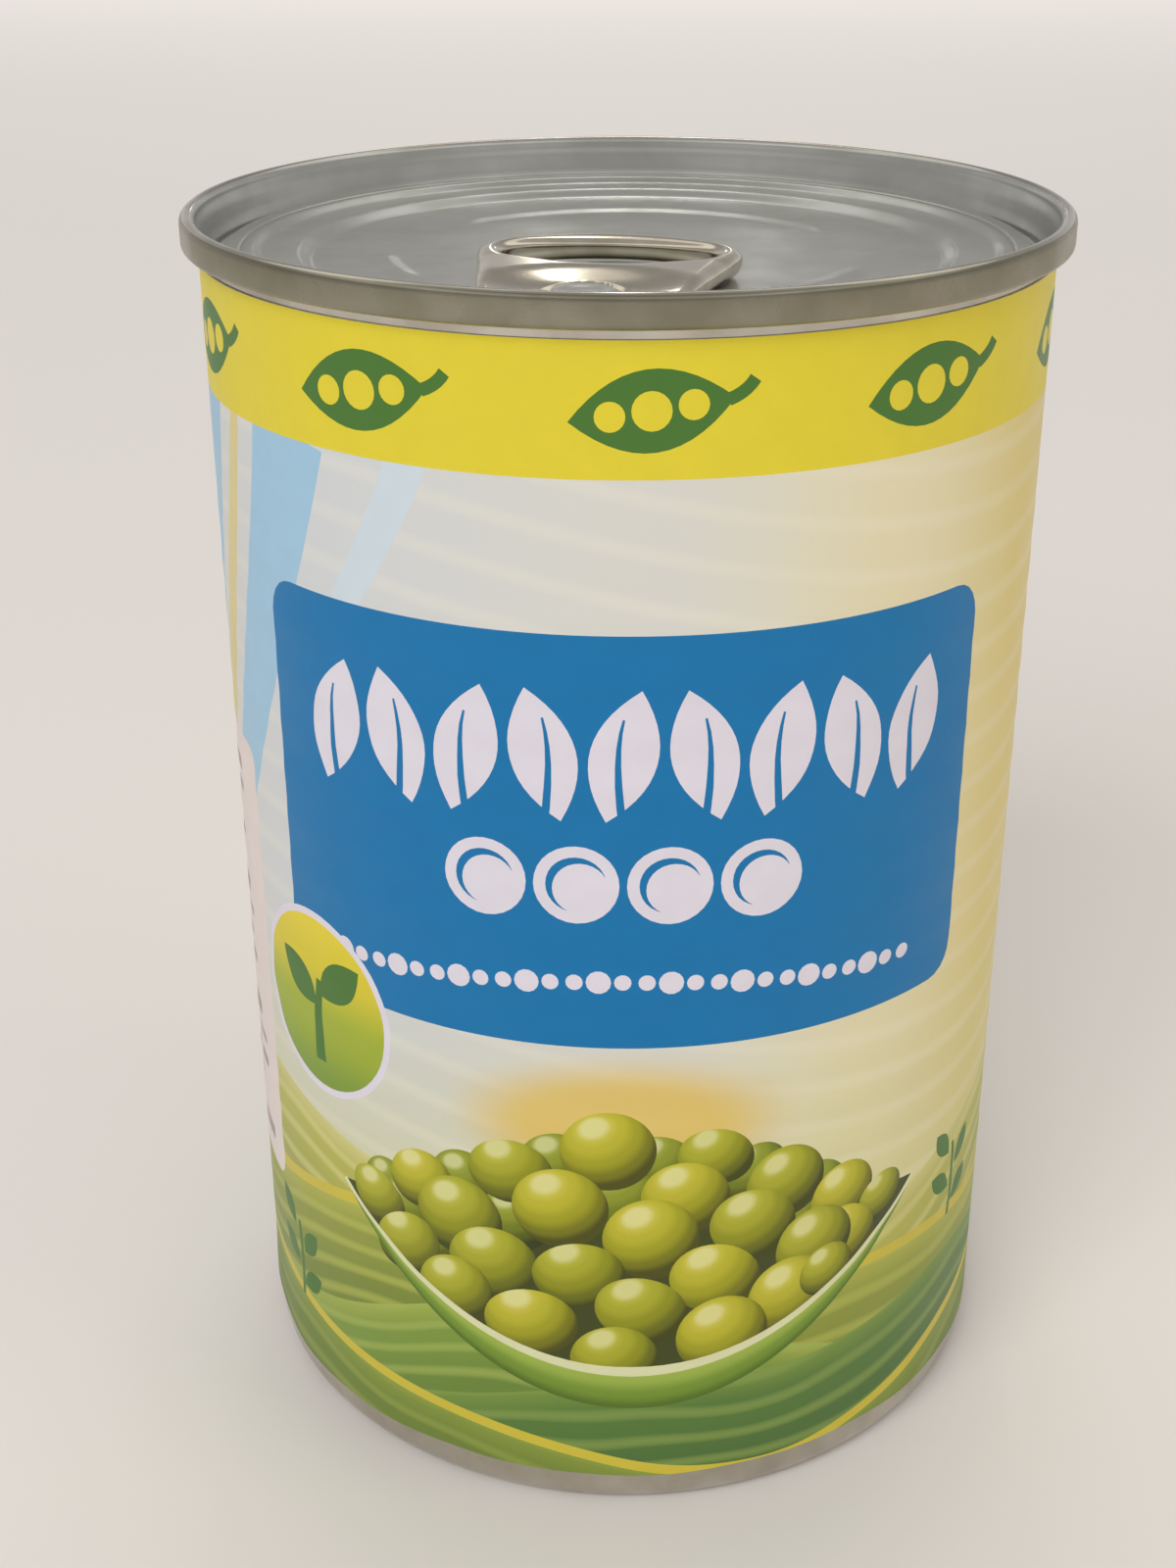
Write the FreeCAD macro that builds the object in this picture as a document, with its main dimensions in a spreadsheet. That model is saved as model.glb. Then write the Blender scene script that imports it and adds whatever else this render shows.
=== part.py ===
"""Food can with an easy-open end, a ring pull and a wrap-round paper label.

Millimetres, +Z up. The origin is the middle of the stand ring, on the surface that the can
stands on. The can's axis is Z and the label's front faces -Y.
"""

import FreeCAD, Part
import math
import os
import re

import Sketcher
from FreeCAD import Vector

# Each driving dimension is written once: alias, value in mm or degrees, what it is.
DIMENSIONS = [
    ("can_height", 112.7, "stand ring to the top of the double seam"),
    ("body_radius", 36.5, "outside of the drawn steel wall"),
    ("base_corner", 2.0, "radius from the wall to the stand ring"),
    ("stand_width", 1.3, "flat width of the stand ring"),
    ("stand_round", 0.8, "inner rounding of the stand ring"),
    ("base_recess", 2.4, "depth of the base panel above the stand ring"),
    ("base_wall_run", 0.7, "how far the recess wall leans in"),
    ("base_bead_inset", 7.7, "recess wall to the raised step in the base panel"),
    ("base_disc_radius", 14.0, "edge of the central disc of the base panel"),
    ("base_step", 0.6, "height of each step in the base panel"),
    ("base_step_run", 1.2, "width of each step's slope"),
    ("seam_overhang", 1.6, "double seam's outside beyond the wall"),
    ("seam_height", 2.7, "height of the double seam"),
    ("seam_thickness", 1.3, "double seam across its crown"),
    ("seam_round", 0.5, "rounding of the seam's lower edge"),
    ("chuck_inset", 0.6, "wall's outside to the foot of the chuck wall"),
    ("countersink_depth", 4.3, "top of the seam to the countersink's floor"),
    ("countersink_round", 0.55, "radius of the countersink's floor"),
    ("end_floor", 0.7, "countersink's floor to the underside of the end"),
    ("panel_rise", 1.1, "countersink's floor to the panel's raised edge"),
    ("panel_round", 0.3, "rounding of the panel's edge"),
    ("score_inset", 1.6, "panel's edge to the score line that the end tears along"),
    ("score_width", 0.4, "width of the score line"),
    ("score_depth", 0.14, "depth of the score line"),
    ("outer_step_inset", 0.9, "score line to the outer step down"),
    ("outer_step_run", 0.9, "width of the outer step"),
    ("outer_step_drop", 0.5, "height of the outer step"),
    ("ring_width", 2.8, "flat ring between the two steps"),
    ("inner_step_run", 1.6, "width of the inner step"),
    ("inner_step_drop", 0.7, "height of the inner step"),
    ("tab_turn", -8.0, "turn of the end, with its tab, away from the label's front"),
    ("back_bead_inset", 7.0, "inner step's foot to the stiffening bead behind the ring"),
    ("back_bead_sweep", 114.0, "angle of that bead's arc"),
    ("side_bead_inset", 6.0, "inner step's foot to the short beads beside the tab"),
    ("side_bead_middle", 64.0, "angle of their middles from the rivet"),
    ("side_bead_sweep", 26.0, "angle of each short arc"),
    ("bead_round", 1.9, "radius of a bead's section"),
    ("bead_rise", 0.35, "height of a bead above the panel"),
    ("nose_inset", 2.1, "score line to the tip of the tab's nose"),
    ("tab_clearance", 0.1, "gap between the flat ring and the nose above it"),
    ("tab_length", 28.4, "tip of the nose to the ring's free end"),
    ("tab_width", 22.0, "widest place of the tab, across the ring"),
    ("tab_thickness", 1.4, "height of the tab's curled edge"),
    ("tab_shoulder", 7.5, "free end to the widest place"),
    ("tab_corner", 5.0, "rounding of the ring's shoulders"),
    ("tab_nose_round", 8.5, "radius of the nose"),
    ("tab_edge_flat", 0.2, "upright strip left between the curled edge's two roundings"),
    ("side_bar", 2.0, "ring's bar at each side of the finger hole"),
    ("free_end_bar", 3.0, "ring's bar at the free end"),
    ("finger_hole_round", 3.4, "rounding of the finger hole's ends"),
    ("rivet_setback", 7.1, "tip of the nose to the rivet"),
    ("rivet_shank", 1.6, "radius of the rivet's shank"),
    ("rivet_head", 2.6, "radius of the rivet's head"),
    ("rivet_head_height", 0.55, "height of the rivet's head"),
    ("rivet_head_round", 0.35, "rounding of the rivet's head"),
    ("rivet_clearance", 0.05, "tab hole beyond the shank"),
    ("web_side_bar", 2.9, "nose's side to the sunk web round the rivet"),
    ("nose_bar", 2.7, "tip of the nose to the sunk web"),
    ("web_round", 3.6, "rounding of the sunk web's ends"),
    ("web_sink", 0.5, "depth of the sunk web"),
    ("lance_gap", 0.7, "rivet's head to the cut that frees its tongue"),
    ("lance_width", 0.5, "width of that cut"),
    ("lance_sweep", 220.0, "angle of that cut"),
    ("label_margin", 1.8, "top of the base corner to the label's lower edge"),
    ("label_gap", 0.9, "label's upper edge to the seam"),
    ("label_thickness", 0.2, "paper and glue on the wall"),
    ("overlap_width", 9.0, "width of the label's glued overlap"),
    ("overlap_step", 0.1, "one paper thickness, where the label laps itself"),
    ("overlap_azimuth", 152.0, "overlap's middle, from the front towards the left"),
]

ALIASES = {alias: f"Sizes.{alias}" for alias, _, _ in DIMENSIONS}

doc = FreeCAD.newDocument("food_can")
sheet = doc.addObject("Spreadsheet::Sheet", "Sizes")
for row, (alias, value, meaning) in enumerate(DIMENSIONS, start=1):
    sheet.set(f"A{row}", alias)
    sheet.set(f"B{row}", str(value))
    sheet.setAlias(f"B{row}", alias)
    sheet.set(f"C{row}", meaning)
doc.recompute()


def sized(text):
    """An expression over the sheet, from a formula that uses its aliases alone."""
    return re.sub("[a-z_]+", lambda word: ALIASES.get(word[0], word[0]), text)


def measured(text):
    """The number that such a formula gives now."""
    return float(sheet.evalExpression(sized(text)))


# ---------------------------------------------------------------- heights that pieces share
SEAM_FOOT = "can_height - seam_height"
GROOVE_FLOOR = "can_height - countersink_depth"
END_FOOT = f"{GROOVE_FLOOR} - end_floor"
PANEL_TOP = f"{GROOVE_FLOOR} + panel_rise"
RING_LEVEL = f"{PANEL_TOP} - outer_step_drop"
PANEL_FLOOR = f"{RING_LEVEL} - inner_step_drop"
TAB_FOOT = f"{RING_LEVEL} + tab_clearance"
WEB_TOP = f"{TAB_FOOT} + tab_thickness - web_sink"
LABEL_FOOT = "base_corner + label_margin"
LABEL_TOP = f"{SEAM_FOOT} - label_gap"

# ---------------------------------------------------------------- radii that pieces share
CROWN = "seam_thickness / 2"
SEAM_RADIUS = "body_radius + seam_overhang"
CHUCK_FOOT = "body_radius - chuck_inset"
PANEL_EDGE = f"{CHUCK_FOOT} - 2 * countersink_round"
SCORE = f"{PANEL_EDGE} - score_inset"
OUTER_STEP = f"{SCORE} - outer_step_inset"
INNER_STEP = f"{OUTER_STEP} - outer_step_run - ring_width"
FLOOR_RADIUS = f"{INNER_STEP} - inner_step_run"
NOSE = f"{SCORE} - nose_inset"
RIVET = f"{NOSE} - rivet_setback"
FREE_END = f"{NOSE} - tab_length"
WIDE_PLACE = f"{FREE_END} + tab_shoulder"
TAB_CURL = "(tab_thickness - tab_edge_flat) / 2"
LANCE_INNER = "rivet_head + lance_gap"
LANCE_OUTER = f"{LANCE_INNER} + lance_width"


# ---------------------------------------------------------------- sketch helpers
def origin_plane(body, role):
    """One of the body's own origin planes, such as XZ_Plane."""
    return next(item for item in body.Origin.OriginFeatures if item.Role == role)


def new_sketch(body, name, role):
    sketch = body.newObject("Sketcher::SketchObject", name)
    sketch.AttachmentSupport = [(origin_plane(body, role), "")]
    sketch.MapMode = "FlatFace"
    return sketch


def dimension(sketch, kind, where, text):
    """A dimensional constraint bound to the sheet. kind is Radius, DistanceX or DistanceY."""
    number = sketch.addConstraint(Sketcher.Constraint(kind, *where, measured(text)))
    sketch.setExpression(f"Constraints[{number}]", sized(text))


def pin_point(sketch, geometry, end, across, up):
    """Holds one end of a line or arc at a place given by two formulas."""
    for kind, text, axis in (("DistanceX", across, -2), ("DistanceY", up, -1)):
        if text == "0":
            sketch.addConstraint(Sketcher.Constraint("PointOnObject", geometry, end, axis))
        else:
            dimension(sketch, kind, (-1, 1, geometry, end), text)


def arc_between(start, finish, radius, turn):
    """The short arc from start to finish; turn is 1 anticlockwise and -1 clockwise."""
    chord = finish - start
    rise = math.sqrt(max(radius**2 - (chord.Length / 2) ** 2, 0))
    left = Vector(-chord.y, chord.x, 0).normalize()
    centre = (start + finish) / 2 + left * rise * turn
    circle = Part.Circle(centre, Vector(0, 0, 1), radius)
    ends = (start, finish) if turn > 0 else (finish, start)
    angles = [math.atan2(point.y - centre.y, point.x - centre.x) for point in ends]
    if angles[1] < angles[0]:
        angles[1] += 2 * math.pi
    return Part.ArcOfCircle(circle, *angles)


def outline(sketch, corners):
    """A closed outline through corners (across, up), or (across, up, radius, turn) where an
    arc of that radius leads to the corner. Every corner is pinned to the sheet."""
    points = [Vector(measured(c[0]), measured(c[1]), 0) for c in corners]
    runs = []
    for index, corner in enumerate(corners):
        start, finish = points[index - 1], points[index]
        if len(corner) == 2:
            number = sketch.addGeometry(Part.LineSegment(start, finish), False)
            runs.append((number, 1, 2))
            continue
        radius, turn = corner[2:]
        number = sketch.addGeometry(arc_between(start, finish, measured(radius), turn), False)
        dimension(sketch, "Radius", (number,), radius)
        runs.append((number, 1, 2) if turn > 0 else (number, 2, 1))
    for index, (number, _, last) in enumerate(runs):
        after, first, _ = runs[(index + 1) % len(runs)]
        sketch.addConstraint(Sketcher.Constraint("Coincident", number, last, after, first))
        pin_point(sketch, number, last, *corners[index][:2])


def lathe(label, corners):
    """A body turned about Z from a closed outline of (radius, height) corners."""
    body = doc.addObject("PartDesign::Body", label)
    sketch = new_sketch(body, f"{label}_profile", "XZ_Plane")
    outline(sketch, corners)
    turned = body.newObject("PartDesign::Revolution", f"{label}_turned")
    turned.Profile = sketch
    turned.ReferenceAxis = (sketch, ["V_Axis"])
    turned.Angle = 360
    sketch.Visibility = False
    body.Tip = turned
    doc.recompute()
    return body


def bind(item, **formulas):
    """Binds properties of an object to the sheet; __ in a name stands for a dot."""
    for name, text in formulas.items():
        item.setExpression(name.replace("__", "."), sized(text))
    return item


# ---------------------------------------------------------------- can body: drawn and filled
STAND_OUTER = "body_radius - base_corner"
STAND_INNER = f"{STAND_OUTER} - stand_width"
RECESS_FOOT = f"{STAND_INNER} - stand_round"
RECESS_EDGE = f"{RECESS_FOOT} - base_wall_run"
BASE_BEAD = f"{RECESS_EDGE} - base_bead_inset"
can_body = lathe(
    "can_body",
    [
        ("0", "base_recess"),
        ("base_disc_radius", "base_recess"),
        ("base_disc_radius + base_step_run", "base_recess + base_step"),
        (f"{BASE_BEAD} - base_step_run", "base_recess + base_step"),
        (BASE_BEAD, "base_recess"),
        (RECESS_EDGE, "base_recess"),
        (RECESS_FOOT, "stand_round"),
        (STAND_INNER, "0", "stand_round", 1),
        (STAND_OUTER, "0"),
        ("body_radius", "base_corner", "base_corner", 1),
        ("body_radius", END_FOOT),
        ("0", END_FOOT),
    ],
)

# ---------------------------------------------------------------- easy-open end and its seam
# The seam, the neck inside it, the countersink and the stepped panel are one turned outline.
GROOVE_LEVEL = f"{GROOVE_FLOOR} + countersink_round"
end_plate = lathe(
    "end_plate",
    [
        ("0", END_FOOT),
        ("body_radius", END_FOOT),
        ("body_radius", SEAM_FOOT),
        (f"{SEAM_RADIUS} - seam_round", SEAM_FOOT),
        (SEAM_RADIUS, f"{SEAM_FOOT} + seam_round", "seam_round", 1),
        (SEAM_RADIUS, f"can_height - {CROWN}"),
        (f"{SEAM_RADIUS} - {CROWN}", "can_height", CROWN, 1),
        (f"{SEAM_RADIUS} - seam_thickness", f"can_height - {CROWN}", CROWN, 1),
        (CHUCK_FOOT, GROOVE_LEVEL),
        (f"{CHUCK_FOOT} - countersink_round", GROOVE_FLOOR, "countersink_round", -1),
        (PANEL_EDGE, GROOVE_LEVEL, "countersink_round", -1),
        (PANEL_EDGE, f"{PANEL_TOP} - panel_round"),
        (f"{PANEL_EDGE} - panel_round", PANEL_TOP, "panel_round", 1),
        (f"{SCORE} + score_width / 2", PANEL_TOP),
        (SCORE, f"{PANEL_TOP} - score_depth"),
        (f"{SCORE} - score_width / 2", PANEL_TOP),
        (OUTER_STEP, PANEL_TOP),
        (f"{OUTER_STEP} - outer_step_run", RING_LEVEL),
        (INNER_STEP, RING_LEVEL),
        (FLOOR_RADIUS, PANEL_FLOOR),
        ("0", PANEL_FLOOR),
    ],
)

# Stiffening beads: arcs of a torus sunk into the panel, rounded off by a ball at each end.
BEAD_CENTRE = f"{PANEL_FLOOR} + bead_rise - bead_round"
TOWARDS_RIVET = -90


def bead(name, radius, middle, sweep):
    """The solids of one bead; middle and sweep are formulas for angles from the rivet."""
    arc = doc.addObject("Part::Torus", f"{name}_arc")
    first = f"{TOWARDS_RIVET} + {middle} - {sweep} / 2"
    bind(
        arc,
        Radius1=radius,
        Radius2="bead_round",
        Angle3=sweep,
        Placement__Base__z=BEAD_CENTRE,
        Placement__Rotation__Angle=first,
    )
    solids = [arc]
    for end, side in (("first", "-"), ("last", "+")):
        ball = doc.addObject("Part::Sphere", f"{name}_{end}")
        angle = f"(({TOWARDS_RIVET} + {middle} {side} {sweep} / 2) * 1 deg)"
        bind(
            ball,
            Radius="bead_round",
            Placement__Base__x=f"({radius}) * cos{angle}",
            Placement__Base__y=f"({radius}) * sin{angle}",
            Placement__Base__z=BEAD_CENTRE,
        )
        solids.append(ball)
    return solids


BACK_BEAD = f"{FLOOR_RADIUS} - back_bead_inset"
SIDE_BEAD = f"{FLOOR_RADIUS} - side_bead_inset"
beads = doc.addObject("Part::MultiFuse", "beads")
beads.Shapes = [
    *bead("back_bead", BACK_BEAD, "180", "back_bead_sweep"),
    *bead("right_bead", SIDE_BEAD, "side_bead_middle", "side_bead_sweep"),
    *bead("left_bead", SIDE_BEAD, "0 - side_bead_middle", "side_bead_sweep"),
]
sunk_part = doc.addObject("Part::Cylinder", "sunk_part")
bind(
    sunk_part,
    Radius=INNER_STEP,
    Height="2 * bead_round",
    Placement__Base__z=f"{PANEL_FLOOR} - bead_rise - 2 * bead_round",
)
raised_beads = doc.addObject("Part::Cut", "raised_beads")
raised_beads.Base = beads
raised_beads.Tool = sunk_part

# The rivet is pressed up out of the panel; its head holds the tab's web down.
rivet = lathe(
    "rivet",
    [
        ("0", f"{PANEL_FLOOR} - bead_rise"),
        ("rivet_shank", f"{PANEL_FLOOR} - bead_rise"),
        ("rivet_shank", WEB_TOP),
        ("rivet_head", WEB_TOP),
        ("rivet_head", f"{WEB_TOP} + rivet_head_height - rivet_head_round"),
        (
            "rivet_head - rivet_head_round",
            f"{WEB_TOP} + rivet_head_height",
            "rivet_head_round",
            1,
        ),
        ("0", f"{WEB_TOP} + rivet_head_height"),
    ],
)
bind(rivet, Placement__Base__y=f"0 - ({RIVET})")

seamed_end = doc.addObject("Part::MultiFuse", "seamed_end")
seamed_end.Shapes = [end_plate, raised_beads, rivet]
bind(seamed_end, Placement__Rotation__Angle="tab_turn")


# ---------------------------------------------------------------- ring pull
def tangent_loop(sketch, pieces):
    """Adds arcs and lines that follow on from each other, each tangent to the next."""
    numbers = [sketch.addGeometry(piece, False) for piece in pieces]
    for index, number in enumerate(numbers):
        after = numbers[(index + 1) % len(numbers)]
        sketch.addConstraint(Sketcher.Constraint("Tangent", number, 2, after, 1))
    return numbers


def arc_of(across, up, radius, first, last):
    """An arc about a centre, anticlockwise between two angles in degrees."""
    circle = Part.Circle(Vector(across, up, 0), Vector(0, 0, 1), radius)
    return Part.ArcOfCircle(circle, math.radians(first), math.radians(last))


def flat_radius(half_width, half_depth, end_radius):
    """Radius of the flatter arc that runs into two end arcs, and its centre's distance."""
    reach = half_width - end_radius
    spare = half_depth - end_radius
    away = (reach**2 - spare**2) / (2 * spare)
    return half_depth + away, away


def oval(body, name, middle, width, depth, end_round):
    """A sketch of a flattened oval on the body's XY plane, its middle at (0, -middle)."""
    sketch = new_sketch(body, name, "XY_Plane")
    half_width, half_depth = measured(width) / 2, measured(depth) / 2
    small, down = measured(end_round), -measured(middle)
    big, away = flat_radius(half_width, half_depth, small)
    reach = half_width - small
    lean = math.degrees(math.atan2(away, reach))
    top, left, bottom, right = tangent_loop(
        sketch,
        [
            arc_of(0, down - away, big, lean, 180 - lean),
            arc_of(-reach, down, small, 180 - lean, 180 + lean),
            arc_of(0, down + away, big, 180 + lean, 360 - lean),
            arc_of(reach, down, small, -lean, lean),
        ],
    )
    sketch.addConstraint(Sketcher.Constraint("Equal", left, right))
    sketch.addConstraint(Sketcher.Constraint("Equal", top, bottom))
    sketch.addConstraint(Sketcher.Constraint("Symmetric", left, 3, right, 3, -2))
    dimension(sketch, "Radius", (right,), end_round)
    dimension(sketch, "DistanceX", (-1, 1, right, 3), f"({width}) / 2 - {end_round}")
    dimension(sketch, "DistanceY", (right, 3, -1, 1), middle)
    crest = sketch.addGeometry(Part.Point(Vector(0, down + half_depth, 0)), True)
    sketch.addConstraint(Sketcher.Constraint("PointOnObject", crest, 1, -2))
    sketch.addConstraint(Sketcher.Constraint("PointOnObject", crest, 1, top))
    dimension(sketch, "DistanceY", (crest, 1, -1, 1), f"{middle} - ({depth}) / 2")
    return sketch


def pocket(body, name, sketch, depth=None):
    """Cuts a sketch that lies on the tab's underside upwards, through all or by a depth."""
    cut = body.newObject("PartDesign::Pocket", name)
    cut.Profile = sketch
    cut.Reversed = True
    cut.Type = 1 if depth is None else 0
    if depth is not None:
        cut.setExpression("Length", sized(depth))
    sketch.Visibility = False
    body.Tip = cut
    doc.recompute()
    return cut


def rim_edges(shape, heights):
    """Names of the edges that lie flat at one of the heights."""
    names = []
    for number, edge in enumerate(shape.Edges, start=1):
        box = edge.BoundBox
        level = any(abs(box.ZMin - z) < 1e-4 and abs(box.ZMax - z) < 1e-4 for z in heights)
        if level:
            names.append(f"Edge{number}")
    return names


def tab_blank(body):
    """The tab's outside: a flattened ring end, straight sides that narrow, a round nose."""
    sketch = new_sketch(body, "tab_outline", "XY_Plane")
    half_width = measured("tab_width") / 2
    corner = measured("tab_corner")
    wide = -measured(WIDE_PLACE)
    crown_rise = measured("tab_shoulder")
    big, away = flat_radius(half_width, crown_rise, corner)
    reach = half_width - corner
    lean = math.degrees(math.atan2(away, reach))
    nose = measured("tab_nose_round")
    nose_middle = nose - measured(NOSE)
    # The sides touch the shoulder and nose circles, so they lean by the difference in radius.
    span = math.hypot(reach, wide - nose_middle)
    slope = math.degrees(math.atan2(wide - nose_middle, reach) - math.acos((nose - corner) / span))
    tip = Vector(math.cos(math.radians(slope)), math.sin(math.radians(slope)), 0)
    right_top = Vector(reach, wide, 0) + tip * corner
    right_foot = Vector(0, nose_middle, 0) + tip * nose
    left_top = Vector(-right_top.x, right_top.y, 0)
    left_foot = Vector(-right_foot.x, right_foot.y, 0)
    crown, left, _, foot, _, right = tangent_loop(
        sketch,
        [
            arc_of(0, wide - away, big, lean, 180 - lean),
            arc_of(-reach, wide, corner, 180 - lean, 180 - slope),
            Part.LineSegment(left_top, left_foot),
            arc_of(0, nose_middle, nose, 180 - slope, 360 + slope),
            Part.LineSegment(right_foot, right_top),
            arc_of(reach, wide, corner, slope, lean),
        ],
    )
    sketch.addConstraint(Sketcher.Constraint("Equal", left, right))
    sketch.addConstraint(Sketcher.Constraint("Symmetric", left, 3, right, 3, -2))
    sketch.addConstraint(Sketcher.Constraint("PointOnObject", foot, 3, -2))
    dimension(sketch, "Radius", (right,), "tab_corner")
    dimension(sketch, "DistanceX", (-1, 1, right, 3), "tab_width / 2 - tab_corner")
    dimension(sketch, "DistanceY", (right, 3, -1, 1), WIDE_PLACE)
    dimension(sketch, "Radius", (foot,), "tab_nose_round")
    dimension(sketch, "DistanceY", (foot, 3, -1, 1), f"{NOSE} - tab_nose_round")
    crest = sketch.addGeometry(Part.Point(Vector(0, -measured(FREE_END), 0)), True)
    sketch.addConstraint(Sketcher.Constraint("PointOnObject", crest, 1, -2))
    sketch.addConstraint(Sketcher.Constraint("PointOnObject", crest, 1, crown))
    dimension(sketch, "DistanceY", (crest, 1, -1, 1), FREE_END)
    pad = body.newObject("PartDesign::Pad", "tab_pad")
    pad.Profile = sketch
    pad.setExpression("Length", sized("tab_thickness"))
    sketch.Visibility = False
    body.Tip = pad
    doc.recompute()
    return pad


def lance_sketch(body):
    """The curved cut round the rivet, open towards the nose, that leaves a tongue."""
    sketch = new_sketch(body, "lance_outline", "XY_Plane")
    middle, inner, outer = -measured(RIVET), measured(LANCE_INNER), measured(LANCE_OUTER)
    first = 90 - measured("lance_sweep") / 2
    last = 90 + measured("lance_sweep") / 2
    inside = sketch.addGeometry(arc_of(0, middle, inner, first, last), False)
    outside = sketch.addGeometry(arc_of(0, middle, outer, first, last), False)
    inner_arc, outer_arc = sketch.Geometry[inside], sketch.Geometry[outside]
    right = sketch.addGeometry(Part.LineSegment(inner_arc.StartPoint, outer_arc.StartPoint), False)
    left = sketch.addGeometry(Part.LineSegment(inner_arc.EndPoint, outer_arc.EndPoint), False)
    for line, end in ((right, 1), (left, 2)):
        sketch.addConstraint(Sketcher.Constraint("Coincident", line, 1, inside, end))
        sketch.addConstraint(Sketcher.Constraint("Coincident", line, 2, outside, end))
    sketch.addConstraint(Sketcher.Constraint("Coincident", inside, 3, outside, 3))
    sketch.addConstraint(Sketcher.Constraint("PointOnObject", inside, 3, -2))
    sketch.addConstraint(Sketcher.Constraint("Symmetric", inside, 1, inside, 2, -2))
    sketch.addConstraint(Sketcher.Constraint("Symmetric", outside, 1, outside, 2, -2))
    dimension(sketch, "DistanceY", (inside, 3, -1, 1), RIVET)
    dimension(sketch, "Radius", (inside,), LANCE_INNER)
    dimension(sketch, "Radius", (outside,), LANCE_OUTER)
    half = "(lance_sweep / 2 * 1 deg)"
    dimension(sketch, "DistanceX", (-1, 1, inside, 1), f"({LANCE_INNER}) * sin{half}")
    dimension(sketch, "DistanceX", (-1, 1, outside, 1), f"({LANCE_OUTER}) * sin{half}")
    return sketch


def rivet_hole_sketch(body):
    sketch = new_sketch(body, "rivet_hole_outline", "XY_Plane")
    radius = "rivet_shank + rivet_clearance"
    middle = Vector(0, -measured(RIVET), 0)
    hole = sketch.addGeometry(Part.Circle(middle, Vector(0, 0, 1), measured(radius)), False)
    sketch.addConstraint(Sketcher.Constraint("PointOnObject", hole, 3, -2))
    dimension(sketch, "DistanceY", (hole, 3, -1, 1), RIVET)
    dimension(sketch, "Radius", (hole,), radius)
    return sketch


ring_pull = doc.addObject("PartDesign::Body", "ring_pull")
tab_blank(ring_pull)
finger_hole = pocket(
    ring_pull,
    "finger_hole",
    oval(
        ring_pull,
        "finger_hole_outline",
        WIDE_PLACE,
        "tab_width - 2 * side_bar",
        "2 * (tab_shoulder - free_end_bar)",
        "finger_hole_round",
    ),
)
curl = ring_pull.newObject("PartDesign::Fillet", "curled_edges")
curl.Base = (finger_hole, rim_edges(finger_hole.Shape, (0, measured("tab_thickness"))))
curl.setExpression("Radius", sized(TAB_CURL))
ring_pull.Tip = curl
doc.recompute()

# The web is sunk from above: its sketch is lifted so that the cut leaves the thickness below.
web_sketch = oval(
    ring_pull,
    "web_outline",
    RIVET,
    "2 * (tab_nose_round - web_side_bar)",
    "2 * (rivet_setback - nose_bar)",
    "web_round",
)
web_sketch.setExpression("AttachmentOffset.Base.z", sized("tab_thickness - web_sink"))
pocket(ring_pull, "sunk_web", web_sketch, "2 * web_sink")
pocket(ring_pull, "lance", lance_sketch(ring_pull))
pocket(ring_pull, "rivet_hole", rivet_hole_sketch(ring_pull))
bind(ring_pull, Placement__Base__z=TAB_FOOT, Placement__Rotation__Angle="tab_turn")


# ---------------------------------------------------------------- paper label
def cylinder(name, radius, angle="360", turn="0"):
    """A pillar as tall as the label, or a wedge of one that starts at an angle from +X."""
    solid = doc.addObject("Part::Cylinder", name)
    return bind(
        solid,
        Radius=radius,
        Height=f"{LABEL_TOP} - ({LABEL_FOOT})",
        Angle=angle,
        Placement__Base__z=LABEL_FOOT,
        Placement__Rotation__Angle=turn,
    )


OVERLAP_ANGLE = "(overlap_width / body_radius * 180 / pi)"
FRONT = -90
wrapped = doc.addObject("Part::MultiFuse", "wrapped_paper")
wrapped.Shapes = [
    cylinder("wrap", "body_radius + label_thickness"),
    cylinder(
        "overlap",
        "body_radius + label_thickness + overlap_step",
        OVERLAP_ANGLE,
        f"{FRONT} - overlap_azimuth - {OVERLAP_ANGLE} / 2",
    ),
]
paper_label = doc.addObject("Part::Cut", "paper_label")
paper_label.Base = wrapped
paper_label.Tool = cylinder("inside_of_wrap", "body_radius")

# ---------------------------------------------------------------- build, check and write
doc.recompute()
PIECES = [can_body, seamed_end, ring_pull, paper_label]
for item in doc.Objects:
    if {"Invalid", "Error"} & set(item.State):
        raise RuntimeError(f"{item.Name} failed: {item.State}")
for piece in PIECES:
    shape = piece.Shape
    if shape.isNull() or not shape.isValid() or len(shape.Solids) != 1:
        raise RuntimeError(f"{piece.Label} isn't one valid solid")

os.makedirs("parts", exist_ok=True)
for piece in PIECES:
    piece.Shape.exportStep(f"parts/{piece.Label}.step")
    box = piece.Shape.optimalBoundingBox()
    print(
        f"{piece.Label}: {box.XLength:.2f} x {box.YLength:.2f} x {box.ZLength:.2f} mm,"
        f" {piece.Shape.Volume / 1000:.3f} cm3"
    )
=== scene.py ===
# %% [markdown]
# # A ring-pull can of peas
# A food can is four things a hand can tell apart: a drawn steel body, a pressed end seamed on
# to it, a ring pull riveted to the end, and a paper label glued round the wall. The measured
# model already has one solid for each. Here each one gets its visible surface and its finish.
#
# The script begins with the measured frame, because every piece takes its place from it.

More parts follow.
